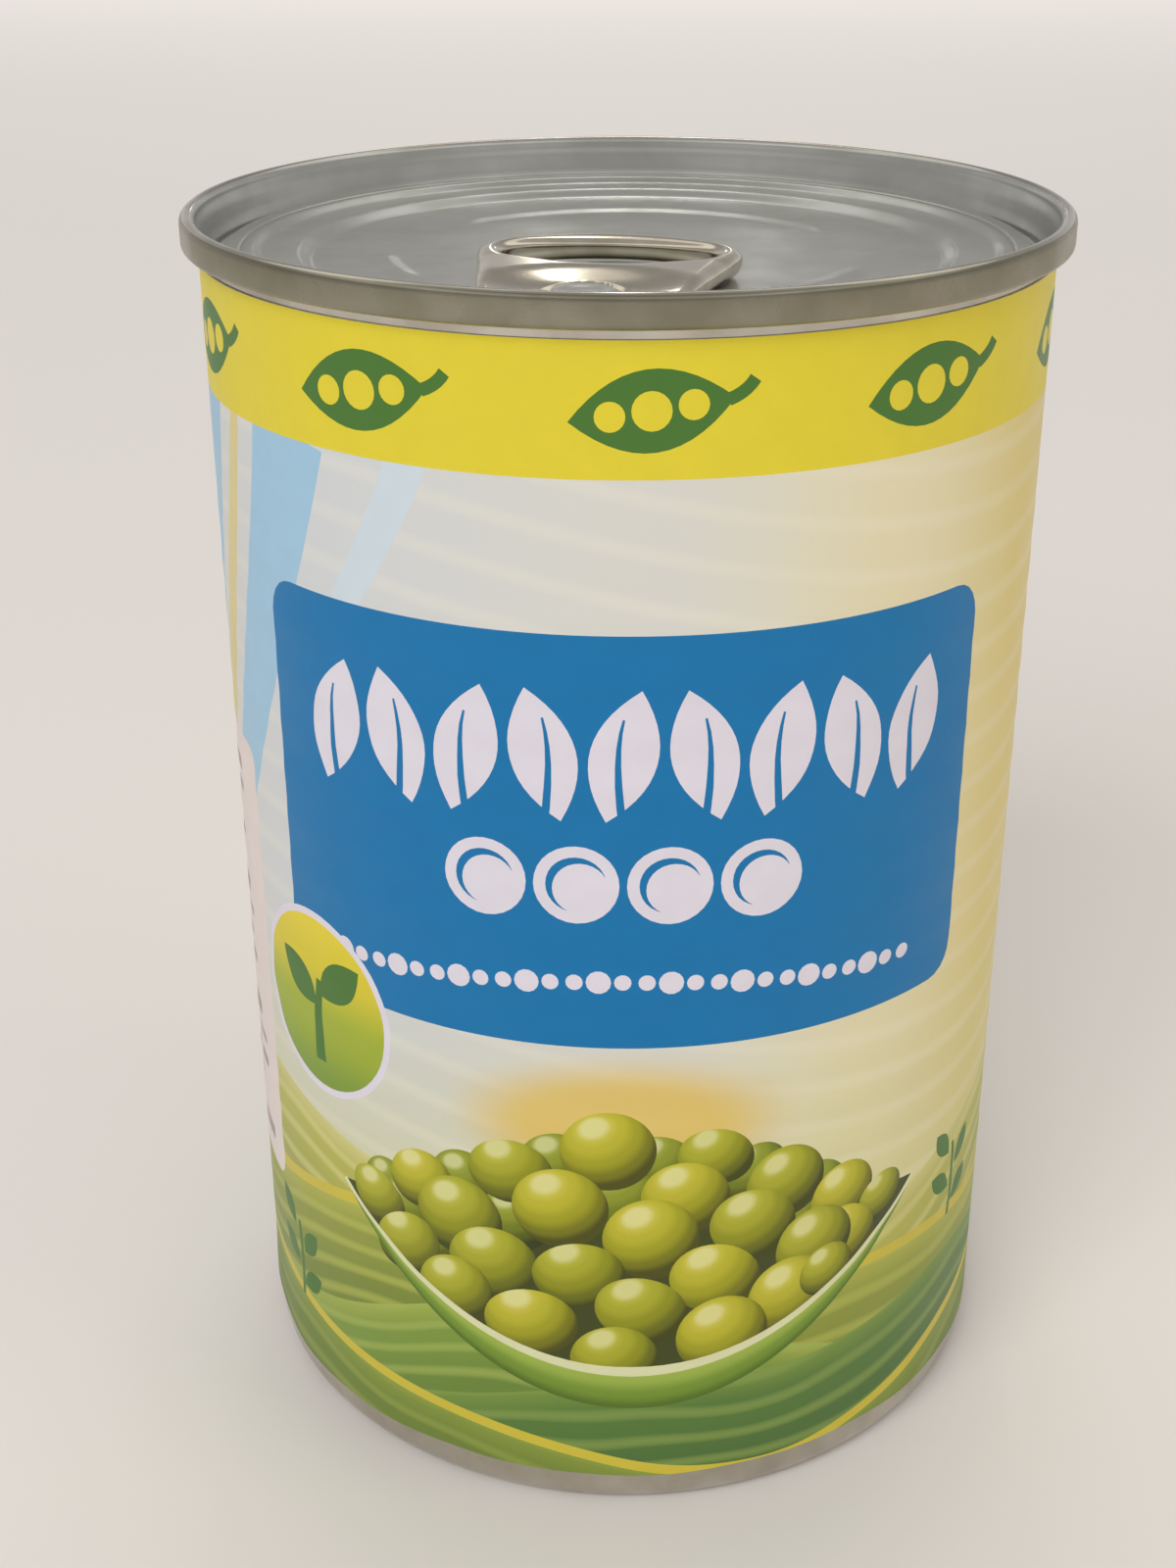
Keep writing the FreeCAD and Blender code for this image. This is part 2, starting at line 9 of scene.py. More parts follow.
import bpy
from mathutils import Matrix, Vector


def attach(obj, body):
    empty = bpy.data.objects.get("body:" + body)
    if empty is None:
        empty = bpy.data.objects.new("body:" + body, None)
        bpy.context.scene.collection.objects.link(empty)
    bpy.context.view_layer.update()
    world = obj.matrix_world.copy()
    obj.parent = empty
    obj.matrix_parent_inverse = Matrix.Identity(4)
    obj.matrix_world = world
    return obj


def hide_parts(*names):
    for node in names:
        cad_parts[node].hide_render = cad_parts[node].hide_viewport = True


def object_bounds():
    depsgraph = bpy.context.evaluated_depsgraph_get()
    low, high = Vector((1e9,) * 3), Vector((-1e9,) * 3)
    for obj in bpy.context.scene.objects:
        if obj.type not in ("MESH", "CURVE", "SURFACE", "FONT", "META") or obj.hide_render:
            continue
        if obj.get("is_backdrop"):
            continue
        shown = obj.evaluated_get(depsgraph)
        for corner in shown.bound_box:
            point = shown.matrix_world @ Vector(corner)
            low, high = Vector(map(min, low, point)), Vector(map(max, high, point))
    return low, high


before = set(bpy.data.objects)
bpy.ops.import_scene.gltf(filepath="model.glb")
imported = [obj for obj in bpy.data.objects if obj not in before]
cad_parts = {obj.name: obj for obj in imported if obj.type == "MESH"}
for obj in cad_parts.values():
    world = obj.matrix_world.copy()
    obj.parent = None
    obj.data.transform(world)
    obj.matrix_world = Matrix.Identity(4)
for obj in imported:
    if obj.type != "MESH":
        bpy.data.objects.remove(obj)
cad_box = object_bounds()
print("solids in the frame:", sorted(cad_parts))

# %% [markdown]
# Geometry is worked out in millimetres, because that is how a can maker's drawing is read,
# and turned into Blender's metres in one place. Colours are written as sRGB hex, as a printer
# would quote them, and Blender's sockets need linear light, so one function converts them.
#
# A second function adds a node. Its inputs are given by name, or by number where names repeat:
# a Math node's numbers are 0 to 2, a Map Range's limits are 1 to 4 (from low, from high, to
# low, to high), and a Mix node has its share at 0 and its two colours at 6 and 7.

# %% Units, colours and one helper for nodes
import math

import bpy
import numpy
from mathutils import Matrix, Vector
from mathutils.geometry import convex_hull_2d, delaunay_2d_cdt

MM = 0.001


def linear(code):
    """An sRGB hex colour as the linear RGBA that a socket takes."""
    shares = [int(code[i : i + 2], 16) / 255 for i in (1, 3, 5)]
    return [s / 12.92 if s <= 0.04045 else ((s + 0.055) / 1.055) ** 2.4 for s in shares] + [1.0]


def add(tree, kind, inputs=None, stops=(), **settings):
    """Adds a shader node and sets its properties. Each named input gets a value, or a link
    from a socket or from a node's first output. A colour ramp also takes its stops, as places
    from 0 to 1 and hex colours."""
    node = tree.nodes.new("ShaderNode" + kind)
    for name, value in settings.items():
        setattr(node, name, value)
    for number, (place, code) in enumerate(stops):
        if number >= len(node.color_ramp.elements):
            node.color_ramp.elements.new(1.0)
        node.color_ramp.elements[number].position = place
        node.color_ramp.elements[number].color = linear(code)
    for name, value in (inputs or {}).items():
        if isinstance(value, bpy.types.Node):
            value = value.outputs[0]
        if isinstance(value, bpy.types.NodeSocket):
            tree.links.new(value, node.inputs[name])
        else:
            node.inputs[name].default_value = value
    return node


def new_material(name):
    """An empty material and its node tree."""
    material = bpy.data.materials.new(name)
    material.use_nodes = True
    material.node_tree.nodes.clear()
    return material, material.node_tree


print("mid grey in linear light:", round(linear("#808080")[0], 3))

# %% [markdown]
# Every piece is a mesh written from its own points, so its edges are round where the real
# ones are. This helper makes the object, gives it its materials, turns its faces outwards if
# the volume they close comes out negative, and lets Blender keep an edge crisp only where two
# faces meet at more than a set angle.


# %% Make a mesh piece from millimetre points
def mesh_piece(name, points, faces, materials, crease=38):
    """A linked object with smooth faces that point outwards, creased above an angle."""
    mesh = bpy.data.meshes.new(name)
    mesh.from_pydata([tuple(c * MM for c in p) for p in points], [], [tuple(f) for f in faces])
    for material in materials:
        mesh.materials.append(material)
    mesh.calc_loop_triangles()
    spots = [v.co for v in mesh.vertices]
    corners = [[spots[v] for v in triangle.vertices] for triangle in mesh.loop_triangles]
    if sum(a.dot(b.cross(c)) for a, b, c in corners) < 0:
        mesh.flip_normals()
    mesh.shade_smooth()
    mesh.set_sharp_from_angle(angle=math.radians(crease))
    piece = bpy.data.objects.new(name, mesh)
    bpy.context.collection.objects.link(piece)
    print(f"{name}: {len(mesh.vertices)} points, {len(mesh.polygons)} faces")
    return piece


# %% [markdown]
# ## Camera
# The can is seen from a little above, close by, through a mildly wide lens, so its walls
# taper towards the table and the far side of the end shows inside the near rim. The camera's
# place is given in metres from the middle of the can's foot.

# %% Place the camera
CAMERA_PLACE = (0.0, -0.18448, 0.14382)
yaw, pitch, roll = -0.0189, 0.4398, -0.003  # radians

camera = bpy.data.objects.new("camera", bpy.data.cameras.new("camera"))
bpy.context.collection.objects.link(camera)
camera.data.lens = 48.0
camera.data.sensor_width = 36.0
camera.data.clip_start = 0.01
ahead = Vector((math.sin(yaw), math.cos(yaw), 0))
forward = ahead * math.cos(pitch) - Vector((0, 0, math.sin(pitch)))
level = Vector((math.cos(yaw), -math.sin(yaw), 0))
upright = level.cross(forward)
right = level * math.cos(roll) + upright * math.sin(roll)
up = upright * math.cos(roll) - level * math.sin(roll)
turn = Matrix((right, up, -forward)).transposed().to_4x4()
camera.matrix_world = Matrix.Translation(CAMERA_PLACE) @ turn
bpy.context.scene.camera = camera
print("camera looks down by", round(math.degrees(pitch), 1), "degrees")

# %% [markdown]
# ## Studio
# Bright metal shows its surroundings more than its own colour, so the surround comes first.
# It is pale at eye level and greyer overhead, with one bright band that draws a thin line
# along every rounded edge. Light Path keeps what the eye and the metal see apart from the even
# light that falls on the can.

# %% Surround
# How high a direction points, from level to overhead, and the colour of the surround there.
SURROUND = [
    (0.0, "#D2CFCD"),
    (0.16, "#CCCAC8"),
    (0.42, "#A5A3A1"),
    (0.56, "#A5A3A1"),
    (0.62, "#FFFCF6"),
    (0.80, "#FFFCF6"),
    (0.87, "#B2B0AE"),
    (1.0, "#C2C0BE"),
]
# The surround's strength ahead, behind and at the sides, and at the corners between, which
# are where a direction points this far along X.
SIDES = (0.78, 1.08)
CORNER = 0.55

world = bpy.data.worlds.new("pale surround")
bpy.context.scene.world = world
world.use_nodes = True
world.node_tree.nodes.clear()
sky = world.node_tree
path = add(sky, "LightPath").outputs
seen = {0: path["Is Camera Ray"], 1: path["Is Glossy Ray"]}
seen = add(sky, "Math", seen, operation="MAXIMUM")
seen = add(sky, "Math", {0: seen, 1: path["Is Transmission Ray"]}, operation="MAXIMUM")
direction = add(sky, "TexCoord").outputs["Generated"]
across, _, height = add(sky, "SeparateXYZ", {0: direction}).outputs
shades = add(sky, "ValToRGB", {"Fac": height}, SURROUND)
sideways = add(sky, "Math", {0: across, 1: CORNER}, operation="PINGPONG")
bright = add(sky, "MapRange", {"Value": sideways, 1: 0.0, 2: CORNER, 3: SIDES[0], 4: SIDES[1]})
lit = add(sky, "Background", {"Color": linear("#FFFDFA"), "Strength": 0.50})
shown = add(sky, "Background", {"Color": shades, "Strength": bright})
add(sky, "OutputWorld", {"Surface": add(sky, "MixShader", {0: seen, 1: lit, 2: shown})})

bpy.context.scene.view_settings.view_transform = "Standard"
print("surround shades:", [code for _, code in SURROUND])

# %% [markdown]
# The floor is one big painted board, pale and matt, so it takes a soft shadow and sends light
# back up under the seam. Staged pieces belong to the scene and not to the can.

# %% Matt floor
FLOOR = "#DBD6D2"
REACH = 4000.0  # mm from the can to the floor's edge
material, tree = new_material("matt studio floor")
place = add(tree, "TexCoord").outputs["Object"]
mottle = add(tree, "TexNoise", {"Vector": place, "Scale": 60.0, "Detail": 4.0})
relief = add(tree, "Bump", {"Height": mottle, "Distance": 0.2 * MM, "Strength": 0.2})
paint = {"Base Color": linear(FLOOR), "Roughness": 0.75, "Specular IOR Level": 0.2}
paint = add(tree, "BsdfPrincipled", paint | {"Normal": relief})
add(tree, "OutputMaterial", {"Surface": paint})
corners = [(-REACH, -REACH, 0), (REACH, -REACH, 0), (REACH, REACH, 0), (-REACH, REACH, 0)]
mesh_piece("studio_floor", corners, [(0, 1, 2, 3)], [material])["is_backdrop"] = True

# %% [markdown]
# Area lamps give soft edges like windows do. A large one in front lights the label, and small
# ones behind leave short streaks on the end and the ring. Their sum is set so that a matt
# colour renders about as it is written.

# %% Lamps
# name, place and aim in metres, size in metres, watts, colour. The big ones only light the
# scene; those under SEEN_SIZE also show in the metal, as the short streaks on the end.
SEEN_SIZE = 0.5
LAMPS = [
    ("front soft box", (-0.45, -0.95, 0.95), (0, 0, 0.07), (0.9, 0.7), 11.2, "#FFFFFF"),
    ("right fill", (1.00, -0.35, 0.50), (0, 0, 0.07), (0.6, 0.8), 2.6, "#FFF3E2"),
    ("far floor light", (0.0, 2.40, 1.60), (0, 2.1, 0), (3.0, 1.6), 36.0, "#FFFFFF"),
    ("ceiling light", (-0.002, 0.80, 0.90), (0, 0, 0.11), (0.045, 0.30), 0.20, "#FFFBF4"),
    ("left window", (-0.046, 1.05, 0.29), (0, 0, 0.11), (0.022, 0.07), 0.022, "#FFFAF0"),
    ("right window", (0.080, 1.05, 0.29), (0, 0, 0.11), (0.022, 0.07), 0.014, "#FFFAF0"),
]
for name, place, target, size, watts, colour in LAMPS:
    lamp = bpy.data.lights.new(name, "AREA")
    lamp.shape = "RECTANGLE"
    lamp.size, lamp.size_y = size
    lamp.energy = watts
    lamp.color = linear(colour)[:3]
    holder = bpy.data.objects.new(name, lamp)
    bpy.context.collection.objects.link(holder)
    holder.visible_glossy = max(size) < SEEN_SIZE
    aim = (Vector(target) - Vector(place)).to_track_quat("-Z", "Y")
    holder.matrix_world = Matrix.Translation(place) @ aim.to_matrix().to_4x4()
print("lamps:", [entry[0] for entry in LAMPS])

# %% [markdown]
# ## Metals
# Food cans are tinplate: thin steel with a bright layer of tin, rolled in one direction. The
# body is drawn, the end is pressed and lacquered, and the ring is folded from brighter strip.
# A metal's colour is its reflectance, its IOR stays at the default, and what tells one metal
# from another is how the rolling lines and the lacquer blur what it reflects. The seam's
# colour is the exception: it is darkened as a painted dark reflection. So each finish below is
# the same few steps with its own grain size, direction and roughness.

# %% Tinplate finishes
# grain is (along, across) the rolling lines in mm, and mottle the size of the lacquer's
# patches in mm. Real rolling lines are about 0.05 mm apart; they are drawn coarser to show.
METALS = {
    "drawn tinplate body": dict(
        colour="#C6C1B6", dull="#B3ADA0", rough=(0.10, 0.20), grain=(9.0, 0.25), mottle=6.0
    ),
    "lacquered tinplate end": dict(
        colour="#C9CAC6", dull="#BEBFB9", rough=(0.28, 0.36), grain=(6.0, 0.22), mottle=6.0
    ),
    # Darker than the tinplate is: this colour paints a dark reflection on the seam's outer wall.
    "seam tinplate with painted dark reflection": dict(
        colour="#979382", dull="#8A8672", rough=(0.26, 0.32), grain=(6.0, 0.40), mottle=5.0
    ),
    "bright tab steel": dict(
        colour="#DCD5C5", dull="#CDC5B3", rough=(0.12, 0.17), grain=(5.0, 0.30), mottle=3.0
    ),
}


def tinplate(name, colour, dull, rough, grain, mottle):
    """One of the finishes: its rolling lines, and patches where it is duller and rougher."""
    material, tree = new_material(name)
    place = add(tree, "TexCoord").outputs["Object"]
    # Rolling lines: noise squeezed across the strip and stretched along it.
    along, across = (1.0 / (size * MM) for size in grain)
    rolled = add(tree, "Mapping", {"Vector": place, "Scale": (along, across, across)})
    lines = add(tree, "TexNoise", {"Vector": rolled, "Scale": 1.0, "Detail": 3.0})
    # Patches where the lacquer dried thicker or was rubbed.
    patch = add(tree, "TexNoise", {"Vector": place, "Scale": 1.0 / (mottle * MM), "Detail": 5.0})
    worn = add(tree, "MapRange", {"Value": patch, 1: 0.38, 2: 0.66})
    tints = {0: worn, 6: linear(colour), 7: linear(dull)}
    tint = add(tree, "Mix", tints, data_type="RGBA").outputs[2]
    grit = add(tree, "Math", {0: lines, 1: worn}, operation="ADD")
    blur = add(tree, "MapRange", {"Value": grit, 1: 0.3, 2: 1.5, 3: rough[0], 4: rough[1]})
    relief = add(tree, "Bump", {"Height": lines, "Distance": 0.005 * MM, "Strength": 0.2})
    metal = {"Base Color": tint, "Metallic": 1.0, "Roughness": blur, "Normal": relief}
    add(tree, "OutputMaterial", {"Surface": add(tree, "BsdfPrincipled", metal)})
    return material


metals = {name: tinplate(name, **finish) for name, finish in METALS.items()}
print("metals:", list(metals))

# %% [markdown]
# ## Turned parts
# The body, the end and the rivet are all round, so each is one outline turned about an axis.
# A screw modifier could do that, but writing the rings by hand lets the end's height change
# round the turn, which is how its stiffening beads are raised.


# %% Arcs and a lathe
def arc(across, up, radius, first, last, steps=6):
    """Points on an arc about (across, up), from one angle to another in degrees."""
    angles = numpy.radians(numpy.linspace(first, last, steps + 1))
    return [(across + radius * math.cos(a), up + radius * math.sin(a)) for a in angles]


def ease(start, finish, steps=6):
    """A pressed step: a slope from start to finish, rounded at both ends."""
    shares = numpy.linspace(0, 1, steps + 1)
    run, rise = finish[0] - start[0], finish[1] - start[1]
    return [(start[0] + run * s, start[1] + rise * s * s * (3 - 2 * s)) for s in shares]


def lathe(outline, around, lift=None):
    """Turns (radius, height) points about Z. Points on the axis become one point each, and
    lift adds a height at (radius, angle)."""
    points, rings, faces = [], [], []
    for radius, height in outline:
        ring = []
        for step in range(around if radius > 0 else 1):
            angle = 2 * math.pi * step / around
            extra = lift(radius, angle) if lift else 0
            ring.append(len(points))
            points.append((radius * math.cos(angle), radius * math.sin(angle), height + extra))
        rings.append(ring)
    for inner, outer in zip(rings, rings[1:]):
        for step in range(around):
            after = (step + 1) % around
            if len(inner) == 1:
                faces.append((inner[0], outer[step], outer[after]))
            elif len(outer) == 1:
                faces.append((inner[after], inner[step], outer[0]))
            else:
                faces.append((inner[step], outer[step], outer[after], inner[after]))
    return points, faces


AROUND = 288  # flats round the body, and a few more round the end for its fine groove
END_AROUND, RIVET_AROUND = 320, 48
print("one ring of the body has", AROUND, "points")

# %% [markdown]
# ## Body
# The wall and the base are drawn from one disc, so the wall runs into the foot with a round
# corner and there is no seam. The base is pushed up inside a narrow ring that the can stands
# on, with a raised band that lets it flex when the can is cooked.

# %% Turn the drawn body
WALL = 36.5  # radius of the body
BASE = 2.4  # height of the base panel over the table
BAND = 0.6  # rise of the band in the base
END_FOOT = 107.7  # height of the body's top, where the end starts

body_outline = [
    *[(r, BASE) for r in (0.0, 6.0, 12.0)],
    *ease((14.0, BASE), (15.2, BASE + BAND)),
    (19.0, BASE + BAND),
    *ease((22.8, BASE + BAND), (24.0, BASE)),
    (28.0, BASE),
    *arc(31.2, BASE - 0.5, 0.5, 90, 12, 5),
    *arc(33.2, 0.8, 0.8, 180, 270, 6),
    *arc(34.5, 2.0, 2.0, 270, 360, 10),
    *[(WALL, z) for z in numpy.linspace(4.0, END_FOOT, 12)],
    (0.0, END_FOOT),
]
body = mesh_piece("drawn_body", *lathe(body_outline, AROUND), [metals["drawn tinplate body"]])
print("a flat is", round(2 * math.pi * WALL / AROUND, 2), "mm wide on the wall")

# %% [markdown]
# ## Easy-open end
# The end is pressed from flat sheet: a double seam rolled over the body's flange, a wall that
# drops to a groove, a raised edge with the score line that tears, two shallow steps, and a
# flat panel. Shallow curved beads behind and beside the ring keep the panel stiff and give
# the finger room. The beads change the height round the turn, which the lathe's lift adds.

# %% Press the end
TAB_TURN = math.radians(-8)
# radius, middle angle and half sweep in degrees, measured in the ring's own frame
BEADS = [(20.0, 90, 57), (21.0, -26, 13), (21.0, -154, 13)]
BEAD_HALF, BEAD_RISE = 1.5, 0.30
PANEL = 108.3  # height of the flat panel in the middle


def bead_lift(radius, angle):
    """How much a bead raises the end at a place on it."""
    rise = 0.0
    for reach, middle, half in BEADS:
        off = (math.degrees(angle) - middle + 180) % 360 - 180
        share = min(max((half + 3 - abs(off)) / 10, 0), 1)
        away = abs(radius - reach)
        if away < BEAD_HALF:
            arch = 0.5 * (1 + math.cos(math.pi * away / BEAD_HALF))
            rise = max(rise, BEAD_RISE * arch * share * share * (3 - 2 * share))
    return rise


beaded = numpy.linspace(25.0, 15.0, 41)  # rows close enough together to draw the beads
end_outline = [
    *[(r, END_FOOT) for r in (0.0, 20.0, WALL)],
    *[(WALL, z) for z in (108.4, 109.1, 109.6)],
    *arc(36.8, 109.7, 0.3, 180, 90, 4),
    *arc(37.6, 110.5, 0.5, 270, 360, 5),
    (38.1, 111.2),
    *arc(37.45, 112.05, 0.65, 0, 180, 14),
    *ease((36.74, 111.7), (36.0, 109.2), 5),
    *arc(35.35, 108.95, 0.55, 0, -180, 10),
    *arc(34.5, 109.2, 0.3, 180, 90, 4),
    (33.45, 109.5),
    *ease((33.4, 109.5), (33.2, 109.36), 3),
    *ease((33.18, 109.36), (33.0, 109.5), 3),
    *ease((32.3, 109.5), (31.4, 109.0)),
    (30.4, 109.0),
    (29.2, 109.0),
    *ease((28.6, 109.0), (27.0, PANEL), 8),
    *[(r, PANEL) for r in (26.5, 26.0, 25.5, *beaded, 13.0, 10.0, 6.0, 3.0, 0.0)],
]
points, faces = lathe(end_outline, END_AROUND, bead_lift)


def turned(points, angle):
    """Points turned about the can's axis."""
    c, s = math.cos(angle), math.sin(angle)
    return [(x * c - y * s, x * s + y * c, z) for x, y, z in points]


finishes = ("lacquered tinplate end", "drawn tinplate body", "seam tinplate with painted dark reflection")
end_metals = [metals[name] for name in finishes]
end = mesh_piece("easy_open_end", turned(points, TAB_TURN), faces, end_metals, 50)

# %% [markdown]
# The strip below the seam is the body's own neck, so it keeps the body's bright tin. The
# seam's outer wall is painted darker, as a painted dark reflection of what stands in front
# of the can, and its crown is rubbed bright.

# %% Neck, seam and crown
for face in end.data.polygons:
    radius, height = face.center.to_2d().length / MM, face.center.z / MM
    if (radius > 36.3 and height < 109.9) or (radius > 36.6 and face.normal.z > 0.8):
        face.material_index = 1
    # Past this radius the seam's outer wall takes the darker colour, its painted dark reflection.
    elif radius > 37.6:
        face.material_index = 2
for slot, name in enumerate(finishes):
    print(name + ":", sum(f.material_index == slot for f in end.data.polygons), "faces")

# %% [markdown]
# ## Rivet
# The rivet isn't a separate part on a real end: it is drawn up out of the panel and flattened
# over the ring's web. Here it is its own turned piece, because its head is far smaller than
# the end and needs a finer outline. The centre keeps the shallow dimple of the tool.

# %% Turn the rivet
RIVET_REACH = 24.0  # from the can's axis
rivet_outline = [
    (0.0, 108.0),
    (1.6, 108.0),
    (1.6, 109.45),
    (2.55, 109.5),
    *arc(2.25, 109.65, 0.35, 0, 90, 5),
    *ease((1.9, 110.0), (1.2, 109.87), 3),
    (0.6, 109.83),
    (0.0, 109.82),
]
points, faces = lathe(rivet_outline, RIVET_AROUND)
points = turned([(x, y - RIVET_REACH, z) for x, y, z in points], TAB_TURN)
rivet = mesh_piece("pressed_rivet", points, faces, [metals["lacquered tinplate end"]], 50)

# %% [markdown]
# ## Ring pull
# The ring pull is strip with its edges curled under, so every edge is round and it catches a
# line of light. One loft makes it: rays from the middle of the finger hole cross the tab from
# the hole's edge to its outline, and rows of points are packed close at both edges, where the
# curl is.

# %% Outlines of the tab
HOLE_MIDDLE = -10.2  # of the finger hole, along Y
NOSE_MIDDLE, NOSE_RADIUS = -22.6, 8.5


def flat_oval(half_width, half_depth, end_radius):
    """A flattened oval about the finger hole's middle: two small end arcs, two big ones."""
    reach, spare = half_width - end_radius, half_depth - end_radius
    away = (reach**2 - spare**2) / (2 * spare)
    lean = math.degrees(math.atan2(away, reach))
    upper = arc(0, -away, half_depth + away, lean, 180 - lean, 90)
    ends = arc(reach, 0, end_radius, -lean, lean, 60)
    return upper + [(x, -y) for x, y in upper] + ends + [(-x, y) for x, y in ends]


def polar(points):
    """Sorted angles and radii of a convex outline, for looking up a ray's length."""
    hull = [Vector(points[i]) for i in convex_hull_2d([Vector(p) for p in points])]
    fine = [
        first.lerp(last, share)
        for first, last in zip(hull, hull[1:] + hull[:1])
        for share in numpy.linspace(0, 1, 20, endpoint=False)
    ]
    pairs = sorted((math.atan2(y, x), math.hypot(x, y)) for x, y in fine)
    return numpy.array(pairs).T


hole_angles, hole_radii = polar(flat_oval(9.0, 4.5, 3.4))
crown = [p for p in flat_oval(11.0, 7.5, 5.0) if p[1] >= 0 or abs(p[0]) > 6]
nose = arc(0, NOSE_MIDDLE - HOLE_MIDDLE, NOSE_RADIUS, 180, 360, 120)
edge_angles, edge_radii = polar(crown + nose)
print("tab:", round(2 * max(edge_radii * numpy.cos(edge_angles)), 1), "mm wide")

# %% [markdown]
# The wide part of the tab, towards the nose, is its web. It is sunk round the rivet, with a
# curved cut that leaves a tongue to hold it.

# %% Sunk web
WEB_DEPTH = 0.9
CUT_RADIUS, CUT_DEPTH = 3.55, 0.25  # of the curved cut, about the rivet


def soft(value, low, high):
    """A smooth 0 to 1 between two values."""
    share = min(max((value - low) / (high - low), 0), 1)
    return share * share * (3 - 2 * share)


def web_drop(x, y):
    """How far the top is sunk at a place in the tab's frame."""
    oval = math.hypot(x / 6.0, (y + RIVET_REACH) / 4.4)
    drop = WEB_DEPTH * (1 - soft(oval, 0.6, 1.75))
    from_rivet = math.hypot(x, y + RIVET_REACH)
    towards = math.degrees(math.atan2(x, y + RIVET_REACH))
    cut = 1 - soft(abs(from_rivet - CUT_RADIUS), 0.12, 0.32)
    return drop + CUT_DEPTH * cut * (1 - soft(abs(towards), 106, 112))


print("web at the rivet is", round(web_drop(0, -RIVET_REACH), 2), "mm down")

# %% [markdown]
# Each ray now gets one closed section: over the top from the hole to the outline, and back
# underneath. A quarter circle of points at each end makes the curl. The rays stand closer
# together towards the nose, where the cut round the rivet needs them.

# %% Loft the ring pull
CURL = 1.6  # width of a curled edge
FRONT_ROLL = 2.2  # the bar between the hole and the web is rolled wider
HEM = 0.65  # the curled edges reach this much lower than the middle of the strip
TAB_FOOT, TAB_TOP = 109.1, 110.5
MIDDLE_ROWS = 44  # rows of points between the two curls

nose_rays = numpy.radians(numpy.linspace(-135, -45, 220, endpoint=False))
ring_rays = numpy.radians(numpy.linspace(-45, 225, 260, endpoint=False))
rays = numpy.concatenate([nose_rays, ring_rays])
wrapped = (rays + math.pi) % (2 * math.pi) - math.pi
inner = numpy.interp(wrapped, hole_angles, hole_radii, period=2 * math.pi)
outer = numpy.interp(wrapped, edge_angles, edge_radii, period=2 * math.pi)
curl_angles = numpy.radians(numpy.linspace(0, 90, 9))
half_height = (TAB_TOP - TAB_FOOT) / 2
middle_height = (TAB_TOP + TAB_FOOT) / 2

sections = []
for angle, near, far in zip(rays, inner, outer):
    width = far - near
    curl = min(CURL, width / 2)
    roll = curl + (FRONT_ROLL - curl) * soft(-math.sin(angle), 0.55, 0.9)
    section = [(near + roll * (1 - math.cos(a)), math.sin(a)) for a in curl_angles]
    inside = numpy.linspace(near + roll, far - curl, MIDDLE_ROWS + 2)[1:-1]
    section += [(r, 1.0) for r in inside]
    section += [(far - curl * (1 - math.cos(a)), math.sin(a)) for a in curl_angles[::-1]]
    column = []
    for side, rows in ((1, section), (-1, section[-2:0:-1])):
        for radius, share in rows:
            x, y = radius * math.cos(angle), HOLE_MIDDLE + radius * math.sin(angle)
            sunk = web_drop(x, y) if side == 1 else HEM
            column.append((x, y, middle_height + (side * half_height - sunk) * share))
    sections.append(column)

points = [p for column in sections for p in column]
numbers = numpy.arange(len(points)).reshape(len(sections), -1)
below = numpy.roll(numbers, -1, axis=1)
after, after_below = (numpy.roll(grid, -1, axis=0) for grid in (numbers, below))
faces = numpy.stack([numbers, below, after_below, after], axis=-1).reshape(-1, 4).tolist()
tab = mesh_piece("ring_tab", turned(points, TAB_TURN), faces, [metals["bright tab steel"]], 60)

# %% [markdown]
# ## Paper label, drawn flat
# A label is printed flat and wrapped afterwards, so it is designed here the same way: a sheet
# in millimetres with x along the paper and z up, x = 0 at the front. Every field and shape of
# ink is a closed outline. They are laid down in printing order, and a triangulation cuts the
# sheet along all the outlines, so each colour ends in a crisp edge that no image could give.
# The print is a plain design of its own: a yellow strip, a blue panel, a pod of peas and a
# badge, with pea and leaf marks where a real label would carry words.

# %% Sheet size and printing order
LABEL_RADIUS = 36.7
LABEL_FOOT, LABEL_TOP = 3.8, 109.1
ROUND = 2 * math.pi * LABEL_RADIUS
FLAP_END = -math.radians(159.03) * LABEL_RADIUS
sheet_right = FLAP_END + ROUND
shapes = []


def lay(ink, outline, art=None, step=1.5):
    """Adds an outline to the print, its long edges cut short enough to bend round the can.
    art turns a place on the sheet into the shape's own coordinates, which its ink shades by."""
    fine = []
    for (x0, z0), (x1, z1) in zip(outline, outline[1:] + outline[:1]):
        parts = max(math.ceil(math.hypot(x1 - x0, z1 - z0) / step), 1)
        fine += [(x0 + (x1 - x0) * i / parts, z0 + (z1 - z0) * i / parts) for i in range(parts)]
    shapes.append((ink, [(float(x), float(z)) for x, z in fine], art))


print("sheet:", round(ROUND, 1), "x", round(LABEL_TOP - LABEL_FOOT, 1), "mm")

# %% [markdown]
# Pale rays of sky come first. Each is a ribbon along a smooth curve, wider at one end, and it
# starts under the yellow strip, which is laid over it later.

# %% Rays
def ribbon(line, widths):
    """A strip along a line of points, with a width at each."""
    line = numpy.array(line, float)
    run = numpy.gradient(line, axis=0)
    side = numpy.stack([-run[:, 1], run[:, 0]], 1) / numpy.hypot(*run.T)[:, None]
    half = side * numpy.array(widths, float)[:, None] / 2
    return [*map(tuple, line + half), *map(tuple, (line - half)[::-1])]


def curve(*knots, steps=24):
    """A smooth line through a few points, as a Bezier curve with those controls."""
    line = []
    for share in numpy.linspace(0, 1, steps + 1):
        level = [numpy.array(k, float) for k in knots]
        while len(level) > 1:
            level = [a + (b - a) * share for a, b in zip(level, level[1:])]
        line.append(tuple(level[0]))
    return line


